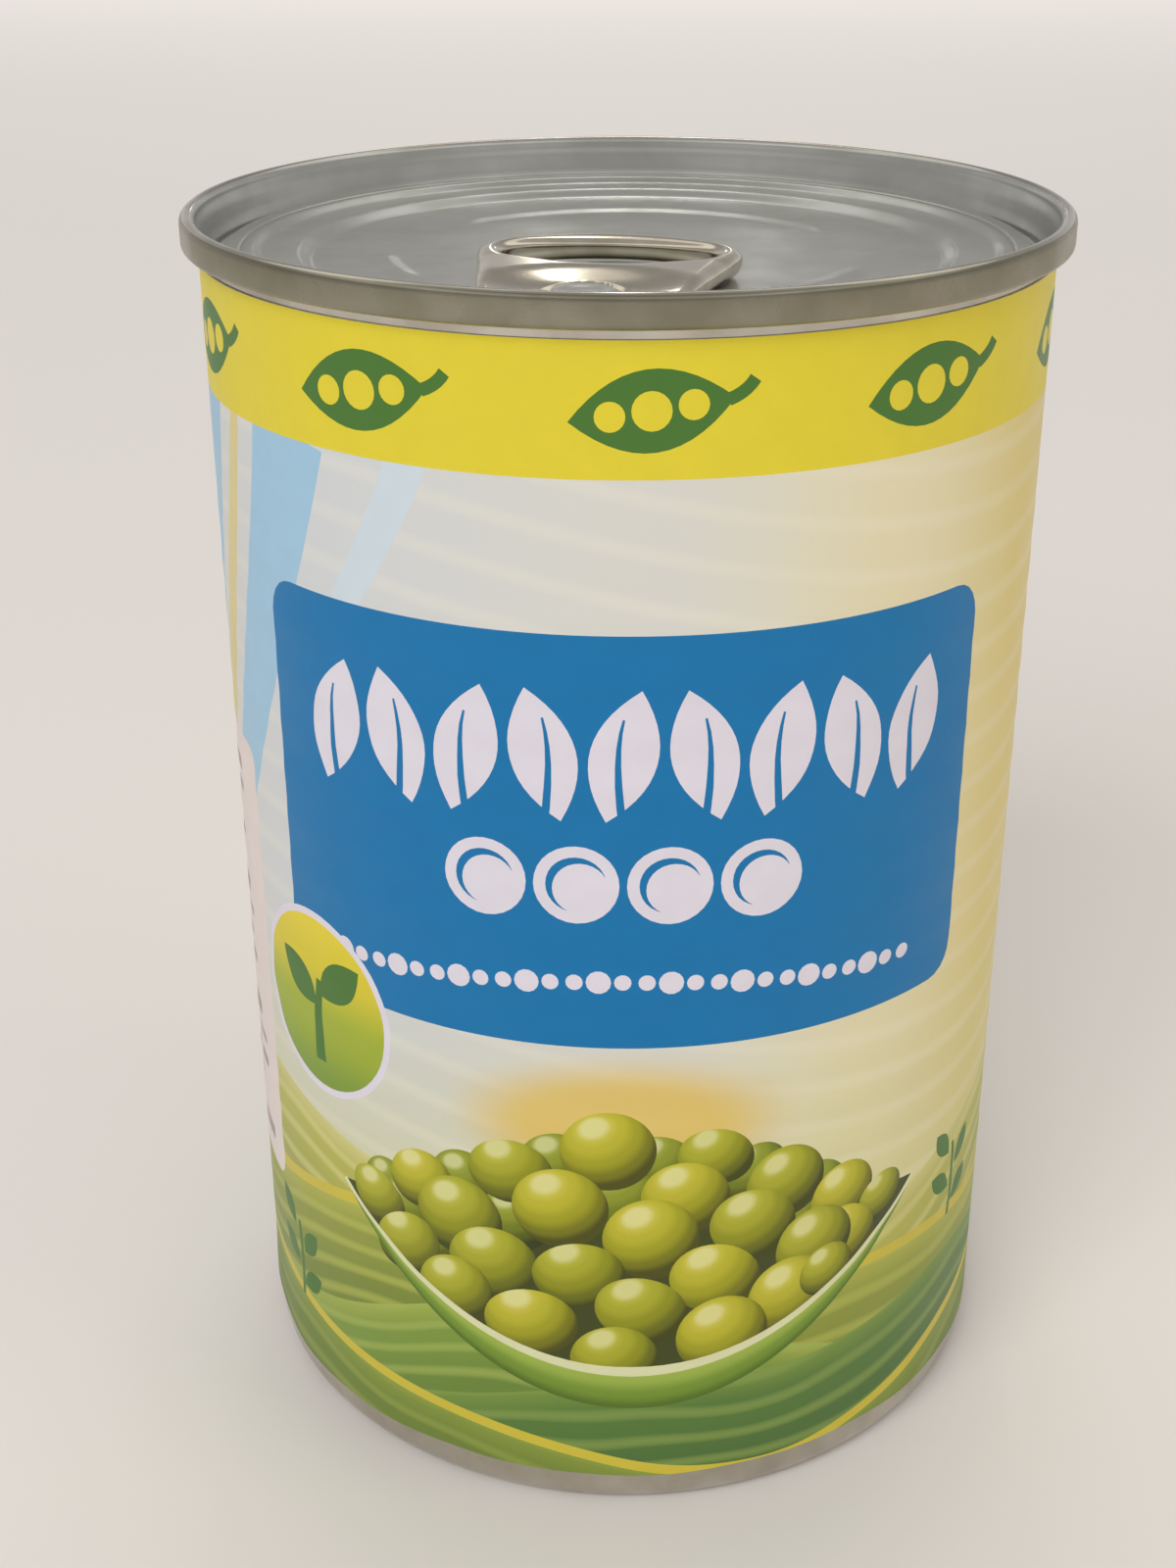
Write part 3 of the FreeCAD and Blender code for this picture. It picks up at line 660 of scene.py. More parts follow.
RAYS = [
    (curve((-30, 99.5), (-33, 86), (-43, 64)), 9.5, 5.0, "sky blue ink"),
    (curve((-46, 99.5), (-49, 82), (-60, 58)), 7.0, 4.0, "sky blue ink"),
    (curve((-38.5, 99.5), (-42.5, 82), (-52, 60)), 1.6, 4.4, "straw ray ink"),
    (curve((-17, 99.5), (-19.5, 93), (-25, 85)), 3.6, 2.6, "faint sky ink"),
    (curve((-64, 99.5), (-67, 84), (-76, 60)), 2.0, 6.0, "straw ray ink"),
    (curve((96, 99.5), (90, 84), (76, 60)), 8.0, 4.0, "sky blue ink"),
    (curve((110, 99.5), (106, 80), (96, 46)), 5.0, 0.3, "faint sky ink"),
]
for line, first, last, ink in RAYS:
    lay(ink, ribbon(line, numpy.linspace(first, last, len(line))))
print("rays:", len(RAYS))

# %% [markdown]
# Then the fields roll round the foot of the can, from the far one to the near one. Each
# field's crest is a sum of whole waves round the can, so it meets itself at the back.

# %% Fields
# ink, height of the crest, then (height, waves round the can, start in radians)
FIELDS = [
    ("far field ink", 32.0, [(4.0, 2, 2.2), (1.2, 5, 0.4)]),
    ("straw ink", 25.0, [(4.0, 2, 0.9), (1.0, 5, 2.0)]),
    ("pea field ink", 23.8, [(4.0, 2, 0.9), (1.0, 5, 2.0)]),
    ("mid field ink", 17.5, [(4.5, 3, 0.3), (1.0, 4, 1.0)]),
    ("dark field ink", 12.5, [(3.5, 2, -1.4), (1.3, 5, 0.6)]),
    ("straw ink", 8.6, [(3.8, 2, 2.5), (0.8, 5, 1.2)]),
    ("near field ink", 7.5, [(3.8, 2, 2.5), (0.8, 5, 1.2)]),
]


def crest(x, height, waves):
    """A field's crest at x, the same after each full turn."""
    return height + sum(h * math.cos(n * x / LABEL_RADIUS + a) for h, n, a in waves)


for ink, height, waves in FIELDS:
    across = numpy.linspace(FLAP_END - 0.5, sheet_right + 0.5, 150)
    top = [(x, crest(x, height, waves)) for x in across]
    below = [(across[-1], LABEL_FOOT - 1), (across[0], LABEL_FOOT - 1)]
    lay(ink, top + below, lambda x, z, h=height, w=waves: (x / 10, (crest(x, h, w) - z) / 10))
print("fields:", len(FIELDS))

# %% [markdown]
# The yellow strip under the seam runs right round, with a pod mark every few centimetres.

# %% Yellow strip with pod marks
def disc(x, z, wide, tall=None, turn=0.0, steps=28):
    """An ellipse from its half sizes, turned by degrees."""
    tall = tall or wide
    c, s = math.cos(math.radians(turn)), math.sin(math.radians(turn))
    angles = numpy.linspace(0, 2 * math.pi, steps, endpoint=False)
    flat = [(wide * math.cos(a), tall * math.sin(a)) for a in angles]
    return [(x + u * c - v * s, z + u * s + v * c) for u, v in flat]


def leaf(x, z, length, width, turn, steps=9):
    """A pointed leaf or a pod: two shallow arcs that meet at both tips."""
    shares = numpy.linspace(-1, 1, steps + 1)
    upper = [(length / 2 * s, width / 2 * (1 - s * s)) for s in shares[:-1]]
    lower = [(length / 2 * s, -width / 2 * (1 - s * s)) for s in shares[:0:-1]]
    c, s = math.cos(math.radians(turn)), math.sin(math.radians(turn))
    return [(x + u * c - v * s, z + u * s + v * c) for u, v in upper + lower]


STRIP_FOOT = 98.8
lay(
    "yellow ink",
    [
        (FLAP_END - 1, STRIP_FOOT),
        (sheet_right + 1, STRIP_FOOT),
        (sheet_right + 1, LABEL_TOP + 1),
        (FLAP_END - 1, LABEL_TOP + 1),
    ],
)
MARKS, TILT = 10, 8
along, rise = math.cos(math.radians(TILT)), math.sin(math.radians(TILT))
for mark in range(MARKS):
    x, z = FLAP_END + ROUND * (mark + 0.5) / MARKS, (STRIP_FOOT + LABEL_TOP) / 2
    stalk = curve((x + 5.6, z + 0.7), (x + 7, z + 1.2), (x + 7.6, z + 2.2), steps=5)
    lay("leaf green ink", leaf(x, z, 12.4, 6.2, TILT, 14))
    lay("leaf green ink", ribbon(stalk, [1.0] * len(stalk)))
    for step, size in ((-3.1, 1.15), (0.0, 1.5), (3.1, 1.15)):
        lay("yellow ink", disc(x + step * along, z + step * rise, size, steps=20))
print("pod marks every", round(ROUND / MARKS, 1), "mm")

# %% [markdown]
# The blue panel is the biggest shape on the front. A frieze of white leaves, a row of peas and
# a string of dots fill the rows where the name and the small print would be.

# %% Blue panel and its white marks
def rounded(x0, z0, x1, z1, radius, steps=5):
    """A rectangle with round corners."""
    return [
        *arc(x1 - radius, z1 - radius, radius, 0, 90, steps),
        *arc(x0 + radius, z1 - radius, radius, 90, 180, steps),
        *arc(x0 + radius, z0 + radius, radius, 180, 270, steps),
        *arc(x1 - radius, z0 + radius, radius, 270, 360, steps),
    ]


NAME_PANEL = (-33.5, 50.0, 33.0, 86.6)
lay("blue ink", rounded(*NAME_PANEL, 3.0))
for mark in range(9):
    side = 1 if mark % 2 else -1
    x = -25.6 + 6.4 * mark
    z = 76.0 + 0.5 * math.cos(x / 16)
    lay("white ink", leaf(x, z, 11.6, 5.4, 90 + 14 * side, 14))
    spine = curve((x, z - 6.4), (x + 0.9 * side, z), (x, z + 3.2), steps=6)
    lay("blue ink", ribbon(spine, [0.7, 0.65, 0.6, 0.5, 0.4, 0.3, 0.2]))
for mark in range(4):
    x, z = -11.4 + 7.6 * mark, 65.2
    lay("white ink", disc(x, z, 3.5))
    lay("blue ink", disc(x, z, 2.5))
    lay("white ink", disc(x + 0.35, z - 0.35, 2.3))
for mark in range(27):
    x, size = -26.0 + 2 * mark, 0.72 if mark % 3 else 1.05
    lay("white ink", disc(x, 55.4 + 0.9 * math.cos(x / 9.0), size, steps=14))
left, foot, right, head = NAME_PANEL
print("blue panel:", right - left, "x", round(head - foot, 1), "mm")

# %% [markdown]
# A split pod holds a heap of peas. The pod's dark inside goes down first, then the peas from
# the back of the heap to the front, then the near wall of the pod over the lowest ones. A pea
# is only a disc on the sheet; it looks round because its ink is shaded from its own middle.

# %% Pod and peas
POD_MIDDLE, POD_HALF = 1, 29


def about(x, z, size):
    """A shape's own coordinates: from -1 to 1 each way about its middle."""
    return lambda u, v: ((u - x) / size, (v - z) / size)


def lip(x):
    """The near edge of the pod's mouth."""
    return 15.8 + 0.0163 * (x - POD_MIDDLE) ** 2


def keel(x):
    """The bottom of the pod's near wall."""
    return 11.6 + 0.0212 * (x - POD_MIDDLE) ** 2


across = numpy.linspace(POD_MIDDLE - POD_HALF, POD_MIDDLE + POD_HALF, 41)
inside_top = [(x, lip(x) + 16.0 * (1 - ((x - POD_MIDDLE) / POD_HALF) ** 2)) for x in across]
lay("pod shadow ink", inside_top + [(x, keel(x)) for x in across[::-1]])

# across, up and size of each pea, from the back of the heap to the front
BACK_PEAS = [
    (-14.2, 34.6, 3.2), (-5.6, 38.0, 3.4), (3.4, 38.2, 3.4), (11.6, 36.4, 3.3), (18.2, 33.0, 3.1),
    (-22.4, 31.6, 2.6), (23.4, 28.8, 2.7), (-17.2, 27.6, 3.2), (16.0, 30.4, 3.2), (0.2, 34.6, 3.8),
    (-9.4, 31.6, 3.4), (-19.8, 30.0, 3.2),
]
FRONT_PEAS = [
    (-18.6, 33.4, 3.4), (8.2, 38.6, 3.5), (-9.8, 36.6, 3.9), (-1.2, 39.6, 4.2), (14.8, 34.6, 3.8),
    (20.8, 31.4, 3.5), (-23.6, 29.6, 3.3), (25.4, 29.4, 2.8), (5.6, 34.6, 4.0), (-14.8, 30.6, 4.2),
    (-5.4, 33.4, 4.3), (11.8, 30.8, 4.2), (-20.4, 25.8, 3.8), (21.4, 26.6, 3.6), (18.0, 27.0, 4.0),
    (2.6, 30.4, 4.3), (-11.6, 26.4, 4.3), (-3.8, 26.4, 4.2), (8.4, 25.6, 4.3), (-15.4, 22.4, 3.8),
    (15.6, 22.0, 4.2), (19.4, 23.6, 2.9), (1.8, 22.6, 4.3), (-8.2, 20.6, 4.4), (-0.6, 17.2, 4.0),
    (9.2, 19.2, 4.3),
]
for number, (x, z, size) in enumerate(BACK_PEAS + FRONT_PEAS):
    squash, turn = 0.9 + 0.1 * math.cos(5.1 * number), 40 * math.sin(2.7 * number)
    if number < len(BACK_PEAS):
        ink = "shaded pea ink"
    else:
        ink = "ripe pea ink" if number % 5 in (0, 2) else "pea ink"
    lay(ink, disc(x, z, size, size * squash, turn, 36), about(x, z, size))

wall = [(x, lip(x)) for x in across] + [(x, keel(x)) for x in across[::-1]]
lay("pod wall ink", wall, lambda x, z: (0.0, 2 * (z - keel(x)) / max(lip(x) - keel(x), 0.3) - 1))
rim = [(x, lip(x)) for x in across]
lay("pod lip ink", ribbon(rim, 0.35 + 0.75 * (1 - abs(across - POD_MIDDLE) / 31)))
print("peas:", len(BACK_PEAS + FRONT_PEAS))

# %% [markdown]
# A round badge sits over the panel's corner, with a sprout in it, and small sprigs stand in
# the fields.

# %% Badge and sprigs
BADGE = (-30.5, 47.0, 8.6)
x, z, size = BADGE
lay("white ink", disc(x, z, size + 0.7, steps=48))
lay("badge ink", disc(x, z, size, steps=48), about(x, z, size))
stem = curve((x, z - 6), (x - 0.4, z - 2), (x + 0.4, z + 2.5), steps=8)
lay("leaf green ink", ribbon(stem, numpy.linspace(1.5, 0.9, len(stem))))
lay("leaf green ink", leaf(x + 3.1, z + 3.1, 7.0, 3.8, 38, 10))
lay("leaf green ink", leaf(x - 2.9, z + 1.7, 6.6, 3.6, 142, 10))

SPRIGS = [(37.5, 25.0, 1.15), (-37.5, 15.0, 1.2), (62, 27, 1.2), (88, 14, 1.0), (-76, 14, 1.1)]
for x, z, size in SPRIGS:
    stem = curve((x, z - 4 * size), (x + 0.6, z), (x, z + 3.4 * size), steps=6)
    lay("leaf green ink", ribbon(stem, [0.5 * size] * len(stem)))
    for step, (side, turn) in enumerate(((1, 35), (-1, 145), (1, 50), (-1, 130))):
        place = (x + side * 1.9 * size, z + (1.9 * step - 2.2) * size + 0.6)
        lay("leaf green ink", leaf(*place, 3.7 * size, 1.9 * size, turn, 8))
print("sprigs:", len(SPRIGS), "badge:", 2 * BADGE[2], "mm across")

# %% [markdown]
# Labels carry a pale panel of small print beside the front. Its lines are drawn as plain bars
# of different lengths, which read as small print from arm's length and say nothing.

# %% Side panels with plain lines
MARGIN, LINE_STEP, BLOCK = 3.0, 2.6, 5  # mm, mm and lines to a block
for x0, x1, start in ((-88.0, -40.5, 3), (58.0, 84.0, 8)):
    lay("panel paper ink", rounded(x0, 22.0, x1, 68.0, 2.0))
    for row, z in enumerate(numpy.arange(64.2, 25.0, -LINE_STEP)):
        # The first line of a block is bold, and the last one is short.
        thick = 0.75 if row % BLOCK == 0 else 0.5
        line_end = x1 - MARGIN - (9.0 if row % BLOCK == BLOCK - 1 else 0.0)
        x = x0 + MARGIN
        for word in range(9):
            length = 2.4 + 3.4 * abs(math.sin(start + 1.7 * row + 2.9 * word))
            if x + length > line_end:
                break
            lay("small print ink", rounded(x, z - thick, x + length, z + thick, 0.3, 2))
            x += length + 1.0
print("shapes on the sheet:", len(shapes))

# %% [markdown]
# ## Cut the sheet
# The triangulation gets every outline as edges that it must keep, with a grid of loose points
# between them so that the sheet can bend round the can. Each triangle then lies wholly inside
# or outside each outline, so its middle is enough to tell: a ray from it that crosses an
# outline an odd number of times starts inside. The last outline laid is the ink that shows.

# %% Triangulate the print
COLUMNS, ROWS = 150, 92
columns = numpy.linspace(FLAP_END, sheet_right, COLUMNS + 1)
rows = numpy.linspace(LABEL_FOOT, LABEL_TOP, ROWS + 1)
edge = [(x, LABEL_FOOT) for x in columns[:-1]] + [(sheet_right, z) for z in rows[:-1]]
edge += [(x, LABEL_TOP) for x in columns[:0:-1]] + [(FLAP_END, z) for z in rows[:0:-1]]
cut_points, cut_edges = [], []
for outline in [edge] + [outline for _, outline, _ in shapes]:
    first, count = len(cut_points), len(outline)
    cut_points += [Vector(p) for p in outline]
    cut_edges += [(first + i, first + (i + 1) % count) for i in range(count)]
cut_points += [Vector((x, z)) for x in columns[1:-1] for z in rows[1:-1]]
flat, _, triangles, _, _, _ = delaunay_2d_cdt(cut_points, cut_edges, [], 0, 1e-5)
flat = numpy.array([tuple(p) for p in flat])
middles = flat[numpy.array(triangles)].mean(axis=1)
on_sheet = (abs(middles[:, 0] - (FLAP_END + sheet_right) / 2) < ROUND / 2) & (
    abs(middles[:, 1] - (LABEL_FOOT + LABEL_TOP) / 2) < (LABEL_TOP - LABEL_FOOT) / 2
)


def held_by(outline, places):
    """Which places lie inside an outline."""
    inside = numpy.zeros(len(places), bool)
    x, z = places.T
    for (x0, z0), (x1, z1) in zip(outline, outline[1:] + outline[:1]):
        if z0 != z1:
            inside ^= ((z0 > z) != (z1 > z)) & (x < x0 + (z - z0) * (x1 - x0) / (z1 - z0))
    return inside


shown_shape = numpy.zeros(len(triangles), int)
for number, (_, outline, _) in enumerate(shapes, start=1):
    low, high = numpy.min(outline, axis=0), numpy.max(outline, axis=0)
    close = numpy.nonzero(((middles >= low) & (middles <= high)).all(axis=1))[0]
    shown_shape[close[held_by(outline, middles[close])]] = number
keep = numpy.nonzero(on_sheet)[0]
print("triangles on the sheet:", len(keep))

# %% [markdown]
# ## Wrap the sheet
# The wall under the label has faint beads rolled into it, and the paper follows them, so its
# gloss breaks into soft bands. At the back the sheet laps over its own start by one paper
# thickness.

# %% Wrap the label round the can
PAPER = 0.1  # thickness in mm, as are all the sizes here
LAP = 9.0  # width of the glued flap
BEAD_STEP, BEAD_SWELL = 4.6, 0.03  # of the wall's beads under the paper
EDGE_LIFT = 0.30  # the lower edge isn't glued everywhere and stands off in ruffles


def paper_radius(x, z):
    """Where the paper's outside lies: lapped at the flap, and waved over the beads."""
    lap = PAPER * (1 - soft(x - FLAP_END, LAP, LAP + 1.5))
    clear = soft(sheet_right - x, 1, 6) * soft(x - FLAP_END, 1, 6)
    beaded = soft(z, 18, 24) * (1 - soft(z, 86, 92)) * BEAD_SWELL
    beaded *= math.cos(2 * math.pi * z / BEAD_STEP)
    turn = x / LABEL_RADIUS
    ruffle = 0.5 + 0.3 * math.sin(7 * turn + 1.1) + 0.2 * math.sin(17 * turn)
    lifted = EDGE_LIFT * ruffle * soft(10 - z, 0, 6.5)
    return LABEL_RADIUS + lap + clear * (beaded + lifted)


def wrap(x, z, radius):
    """A place on the sheet as a point round the can."""
    angle = x / LABEL_RADIUS
    return (radius * math.sin(angle), -radius * math.cos(angle), z)


used = sorted({int(v) for i in keep for v in triangles[i]})
index = {old: new for new, old in enumerate(used)}
sheet_places = [tuple(flat[old]) for old in used]
points = [wrap(x, z, paper_radius(x, z)) for x, z in sheet_places]
faces, inks, arts = [], [], []
ink_names = ["paper"] + sorted({ink for ink, _, _ in shapes})
for i in keep:
    shape = shown_shape[i]
    ink, _, art = shapes[shape - 1] if shape else ("paper", None, None)
    face = [index[v] for v in triangles[i]]
    a, b, c = (Vector(sheet_places[v]) for v in face)
    if (b - a).cross(c - a) < 0:
        face.reverse()
    faces.append(face)
    inks.append(ink_names.index(ink))
    arts.append([art(*sheet_places[v]) if art else (0.0, 0.0) for v in face])
outer_faces = len(faces)
print("sheet points:", len(sheet_places))

# %% [markdown]
# The cut edges at the top, the bottom and the flap are closed down to the wall, which leaves
# the label a thin solid like the paper it is.


# %% Close the cut edges
def zip_rows(first, second):
    """Triangles between two rows of points that run the same way."""
    made, i, j = [], 0, 0
    while i < len(first) - 1 or j < len(second) - 1:
        step_first = j == len(second) - 1 or (
            i < len(first) - 1 and first[i + 1][0] <= second[j + 1][0]
        )
        if step_first:
            made.append((first[i][1], first[i + 1][1], second[j][1]))
            i += 1
        else:
            made.append((first[i][1], second[j + 1][1], second[j][1]))
            j += 1
    return made


def on_edge(axis, value):
    """Sheet points on one edge, as (place along it, point number), in order."""
    numbered = enumerate(sheet_places)
    return sorted((p[1 - axis], i) for i, p in numbered if abs(p[axis] - value) < 1e-4)


WALL_GAP = 0.02  # film of glue
inner_rows = []
for z in (LABEL_FOOT, LABEL_TOP):
    first = len(points)
    points += [wrap(x, z, WALL + WALL_GAP) for x in columns[:-1]]
    numbers = [*range(first, first + COLUMNS), first]
    inner_rows.append(list(zip(columns, numbers)))
foot_inner, top_inner = inner_rows
faces += zip_rows(foot_inner, on_edge(1, LABEL_FOOT))
faces += [f[::-1] for f in zip_rows(top_inner, on_edge(1, LABEL_TOP))]
faces += zip_rows(on_edge(0, sheet_right), on_edge(0, FLAP_END))
for (_, a), (_, b), (_, c), (_, d) in zip(foot_inner, foot_inner[1:], top_inner[1:], top_inner):
    faces.append((b, a, d, c))
print("label faces:", outer_faces, "printed,", len(faces) - outer_faces, "cut edge and back")

# %% [markdown]
# ## Inks on coated paper
# Label paper is coated on the printed side, and the inks are thin and a little glossy, so
# every colour shares one surface: IOR 1.4, a roughness near 0.4, and a fine fibre relief. What
# differs is the colour, and a few inks grade from one colour to another across the sheet or
# across their own shape. Two attributes carry those places: the flat sheet in millimetres,
# and each shape's own coordinates.

# %% Surface that the inks share
INK_IOR = 1.4
FIBRE, COCKLE = 0.35, 9.0  # mm: paper fibres and the slow waves of glued paper
inks_made = {}


def coated(name):
    """A new ink: its tree and its colour socket, with the paper's gloss and relief."""
    material, tree = new_material(name)
    place = add(tree, "TexCoord").outputs["Object"]
    fibres = add(tree, "TexNoise", {"Vector": place, "Scale": 1 / (FIBRE * MM), "Detail": 3.0})
    waves = add(tree, "TexNoise", {"Vector": place, "Scale": 1 / (COCKLE * MM), "Detail": 2.0})
    slow = add(tree, "Bump", {"Height": waves, "Distance": 0.05 * MM, "Strength": 0.5})
    fine = {"Height": fibres, "Distance": 0.008 * MM, "Strength": 0.6, "Normal": slow}
    fine = add(tree, "Bump", fine)
    gloss = add(tree, "MapRange", {"Value": waves, 1: 0.3, 2: 0.7, 3: 0.36, 4: 0.46})
    shader = add(tree, "BsdfPrincipled", {"IOR": INK_IOR, "Roughness": gloss, "Normal": fine})
    add(tree, "OutputMaterial", {"Surface": shader})
    inks_made[name] = material
    return tree, shader.inputs["Base Color"]


print("fibre relief is", FIBRE, "mm across")

# %% [markdown]
# The plain inks are one colour each, with a slight unevenness of the ink film.

# %% Plain inks
PLAIN = {
    "yellow ink": "#D8C730",
    "blue ink": "#006EA6",
    "white ink": "#D6D1DB",
    "leaf green ink": "#44702B",
    "sky blue ink": "#99BED6",
    "faint sky ink": "#C6D2D9",
    "straw ink": "#C6B63A",
    "straw ray ink": "#D3C58A",
    "pod shadow ink": "#3D4418",
    "pod lip ink": "#D3D3A8",
    "panel paper ink": "#DCD0CB",
    "small print ink": "#9A8E8A",
}
FILM = 2.5  # mm: size of the thicker and thinner spots in the film
for name, code in PLAIN.items():
    tree, printed = coated(name)
    place = add(tree, "TexCoord").outputs["Object"]
    film = add(tree, "TexNoise", {"Vector": place, "Scale": 1 / (FILM * MM), "Detail": 4.0})
    share = add(tree, "MapRange", {"Value": film, 1: 0.3, 2: 0.7, 3: 0.975, 4: 1.01})
    shades = {0: 1.0, 6: linear(code), 7: share}
    colour = add(tree, "Mix", shades, data_type="RGBA", blend_type="MULTIPLY")
    tree.links.new(colour.outputs[2], printed)
print("plain inks:", len(PLAIN))

# %% [markdown]
# The graded inks follow a ramp. A pea is the interesting one: from its own coordinates the
# nodes build the normal of a ball, compare it with a lamp at the upper left, and read the
# result off a ramp from shaded green to lit yellow-green, with a small soft highlight.


# %% Graded inks
def layer_place(tree, layer):
    """One of the label's layers of places: whole, and split into across and up."""
    whole = add(tree, "Attribute", attribute_name=layer).outputs["Vector"]
    across, up, _ = add(tree, "SeparateXYZ", {0: whole}).outputs
    return whole, across, up


PEA_STOPS = (0.0, 0.30, 0.62, 0.86, 1.0)
PEA_INKS = {
    "pea ink": ("#3E420C", "#646812", "#8A8C18", "#A3A328", "#B4B23E"),
    "ripe pea ink": ("#4A4A0E", "#737312", "#9B991C", "#B4AE2C", "#C4BC48"),
    "shaded pea ink": ("#32380C", "#505812", "#6D781A", "#869026", "#98A038"),
}
PEA_LAMP = (-0.30, 0.58, 0.76)  # the lamp's direction: to the left, up and forward
for name, codes in PEA_INKS.items():
    tree, printed = coated(name)
    art, across, up = layer_place(tree, "art")
    reach = add(tree, "VectorMath", {0: art}, operation="LENGTH").outputs["Value"]
    squared = add(tree, "Math", {0: reach, 1: 2.0}, operation="POWER")
    left = add(tree, "Math", {0: 1.05, 1: squared}, operation="SUBTRACT")
    facing = add(tree, "Math", {0: left, 1: 0.5}, operation="POWER")
    ball = add(tree, "CombineXYZ", {0: across, 1: up, 2: facing})
    lit = add(tree, "VectorMath", {0: ball, 1: PEA_LAMP}, operation="DOT_PRODUCT")
    lit = lit.outputs["Value"]
    skin = add(tree, "ValToRGB", {"Fac": lit}, zip(PEA_STOPS, codes))
    skin.color_ramp.interpolation = "EASE"
    spot = add(tree, "MapRange", {"Value": lit, 1: 0.955, 2: 0.999, 3: 0.0, 4: 0.55})
    shine = add(tree, "Mix", {0: spot, 6: skin, 7: linear("#DEDDA8")}, data_type="RGBA")
    tree.links.new(shine.outputs[2], printed)

GRADED = {
    "pod wall ink": [(0.0, "#4E6A1E"), (0.35, "#6E8C2C"), (0.8, "#96AC46"), (1.0, "#A9B95C")],
    "badge ink": [(0.0, "#74922F"), (0.4, "#9AA92E"), (0.75, "#CFC02C"), (1.0, "#DCC82E")],
}
for name, stops in GRADED.items():
    tree, printed = coated(name)
    _, _, up = layer_place(tree, "art")
    share = add(tree, "MapRange", {"Value": up, 1: -1.0, 2: 1.0})
    colour = add(tree, "ValToRGB", {"Fac": share}, stops)
    colour.color_ramp.interpolation = "EASE"
    tree.links.new(colour.outputs[0], printed)
print("graded inks:", [*PEA_INKS, *GRADED])

# %% [markdown]
# A field is light at its crest and deeper below it, with pale ridges that follow the crest.
# Its own coordinates are centimetres along the sheet and centimetres below the crest.

# %% Field inks
# crest, body, low ground and ridges
FIELD_INKS = {
    "far field ink": ["#C4BE78", "#AEAD50", "#9C9F43", "#CCC880"],
    "pea field ink": ["#A5A845", "#8A9338", "#758533", "#B0B552"],
    "mid field ink": ["#97A647", "#779139", "#668234", "#9FAF54"],
    "dark field ink": ["#708C3A", "#537535", "#4A6B34", "#859B4C"],
    "near field ink": ["#7F9038", "#6A7E31", "#5B6F2D", "#8D9C45"],
}
RIDGE_STEP = 0.30  # cm from ridge to ridge
for name, (crest_code, body_code, low_code, ridge_code) in FIELD_INKS.items():
    tree, printed = coated(name)
    art, _, deep = layer_place(tree, "art")
    depths = [(0.0, crest_code), (0.35, body_code), (1.0, low_code)]
    soil = add(tree, "ValToRGB", {"Fac": deep}, depths)
    soil.color_ramp.interpolation = "EASE"
    swing = add(tree, "TexNoise", {"Vector": art, "Scale": 0.35, "Detail": 1.0})
    bend = add(tree, "Math", {0: swing, 1: 0.8, 2: deep}, operation="MULTIPLY_ADD")
    turns = add(tree, "Math", {0: bend, 1: 2 * math.pi / RIDGE_STEP}, operation="MULTIPLY")
    wave = add(tree, "Math", {0: turns}, operation="SINE")
    ridge = add(tree, "MapRange", {"Value": wave, 1: 0.0, 2: 1.0, 3: 0.0, 4: 0.6})
    shades = {0: ridge, 6: soil, 7: linear(ridge_code)}
    tree.links.new(add(tree, "Mix", shades, data_type="RGBA").outputs[2], printed)
print("field inks:", len(FIELD_INKS))

# %% [markdown]
# The bare ground of the sheet isn't white. It goes from a cool haze on the left through cream
# to a warm yellow on the right, and darkens to straw towards the fields.

# %% Ground of the sheet
# mm along the sheet from the front, and the colour there; it meets itself at the back.
HAZE = [
    (FLAP_END, "#DACB8C"),
    (-70, "#D9D2BE"),
    (-30, "#C8CBCD"),
    (2, "#CFCEC7"),
    (24, "#DCD3AE"),
    (42, "#D8C67C"),
    (100, "#DCCF9A"),
    (sheet_right, "#DACB8C"),
]
tree, printed = coated("paper")
sheet, across, up = layer_place(tree, "sheet")
share = add(tree, "MapRange", {"Value": across, 1: FLAP_END, 2: sheet_right})
stops = [((x - FLAP_END) / ROUND, code) for x, code in HAZE]
haze = add(tree, "ValToRGB", {"Fac": share}, stops)
haze.color_ramp.interpolation = "EASE"
low = add(tree, "MapRange", {"Value": up, 1: 52.0, 2: 26.0, 3: 0.0, 4: 0.75})
shades = {0: low, 6: haze, 7: linear("#C9C684")}
ground = add(tree, "Mix", shades, data_type="RGBA").outputs[2]
print("colours along the sheet:", len(HAZE))

# %% [markdown]
# Faint lines sweep over the ground. They come from a sine of the height, and a second, slower
# sine along the sheet lifts and drops them.

# %% Sweeping lines
LINE_GAP = 4.2  # mm from line to line
SWEEP, SWING = 0.045, 5.0  # radians to a mm along the sheet, and mm up and down
lean = add(tree, "Math", {0: across, 1: SWEEP}, operation="MULTIPLY")
lean = add(tree, "Math", {0: lean}, operation="SINE")
lean = add(tree, "Math", {0: lean, 1: SWING, 2: up}, operation="MULTIPLY_ADD")
lines = add(tree, "Math", {0: lean, 1: 2 * math.pi / LINE_GAP}, operation="MULTIPLY")
lines = add(tree, "Math", {0: lines}, operation="SINE")
faint = add(tree, "MapRange", {"Value": lines, 1: 0.3, 2: 1.0, 3: 0.0, 4: 0.22})
shades = {0: faint, 6: ground, 7: linear("#E4DFCB")}
ground = add(tree, "Mix", shades, data_type="RGBA").outputs[2]
print("one sweep is", round(2 * math.pi / SWEEP), "mm long")

# %% [markdown]
# A low sun glows behind the heap of peas. Its strength falls with the distance from its
# middle, measured in its own half sizes, so it is a soft oval.

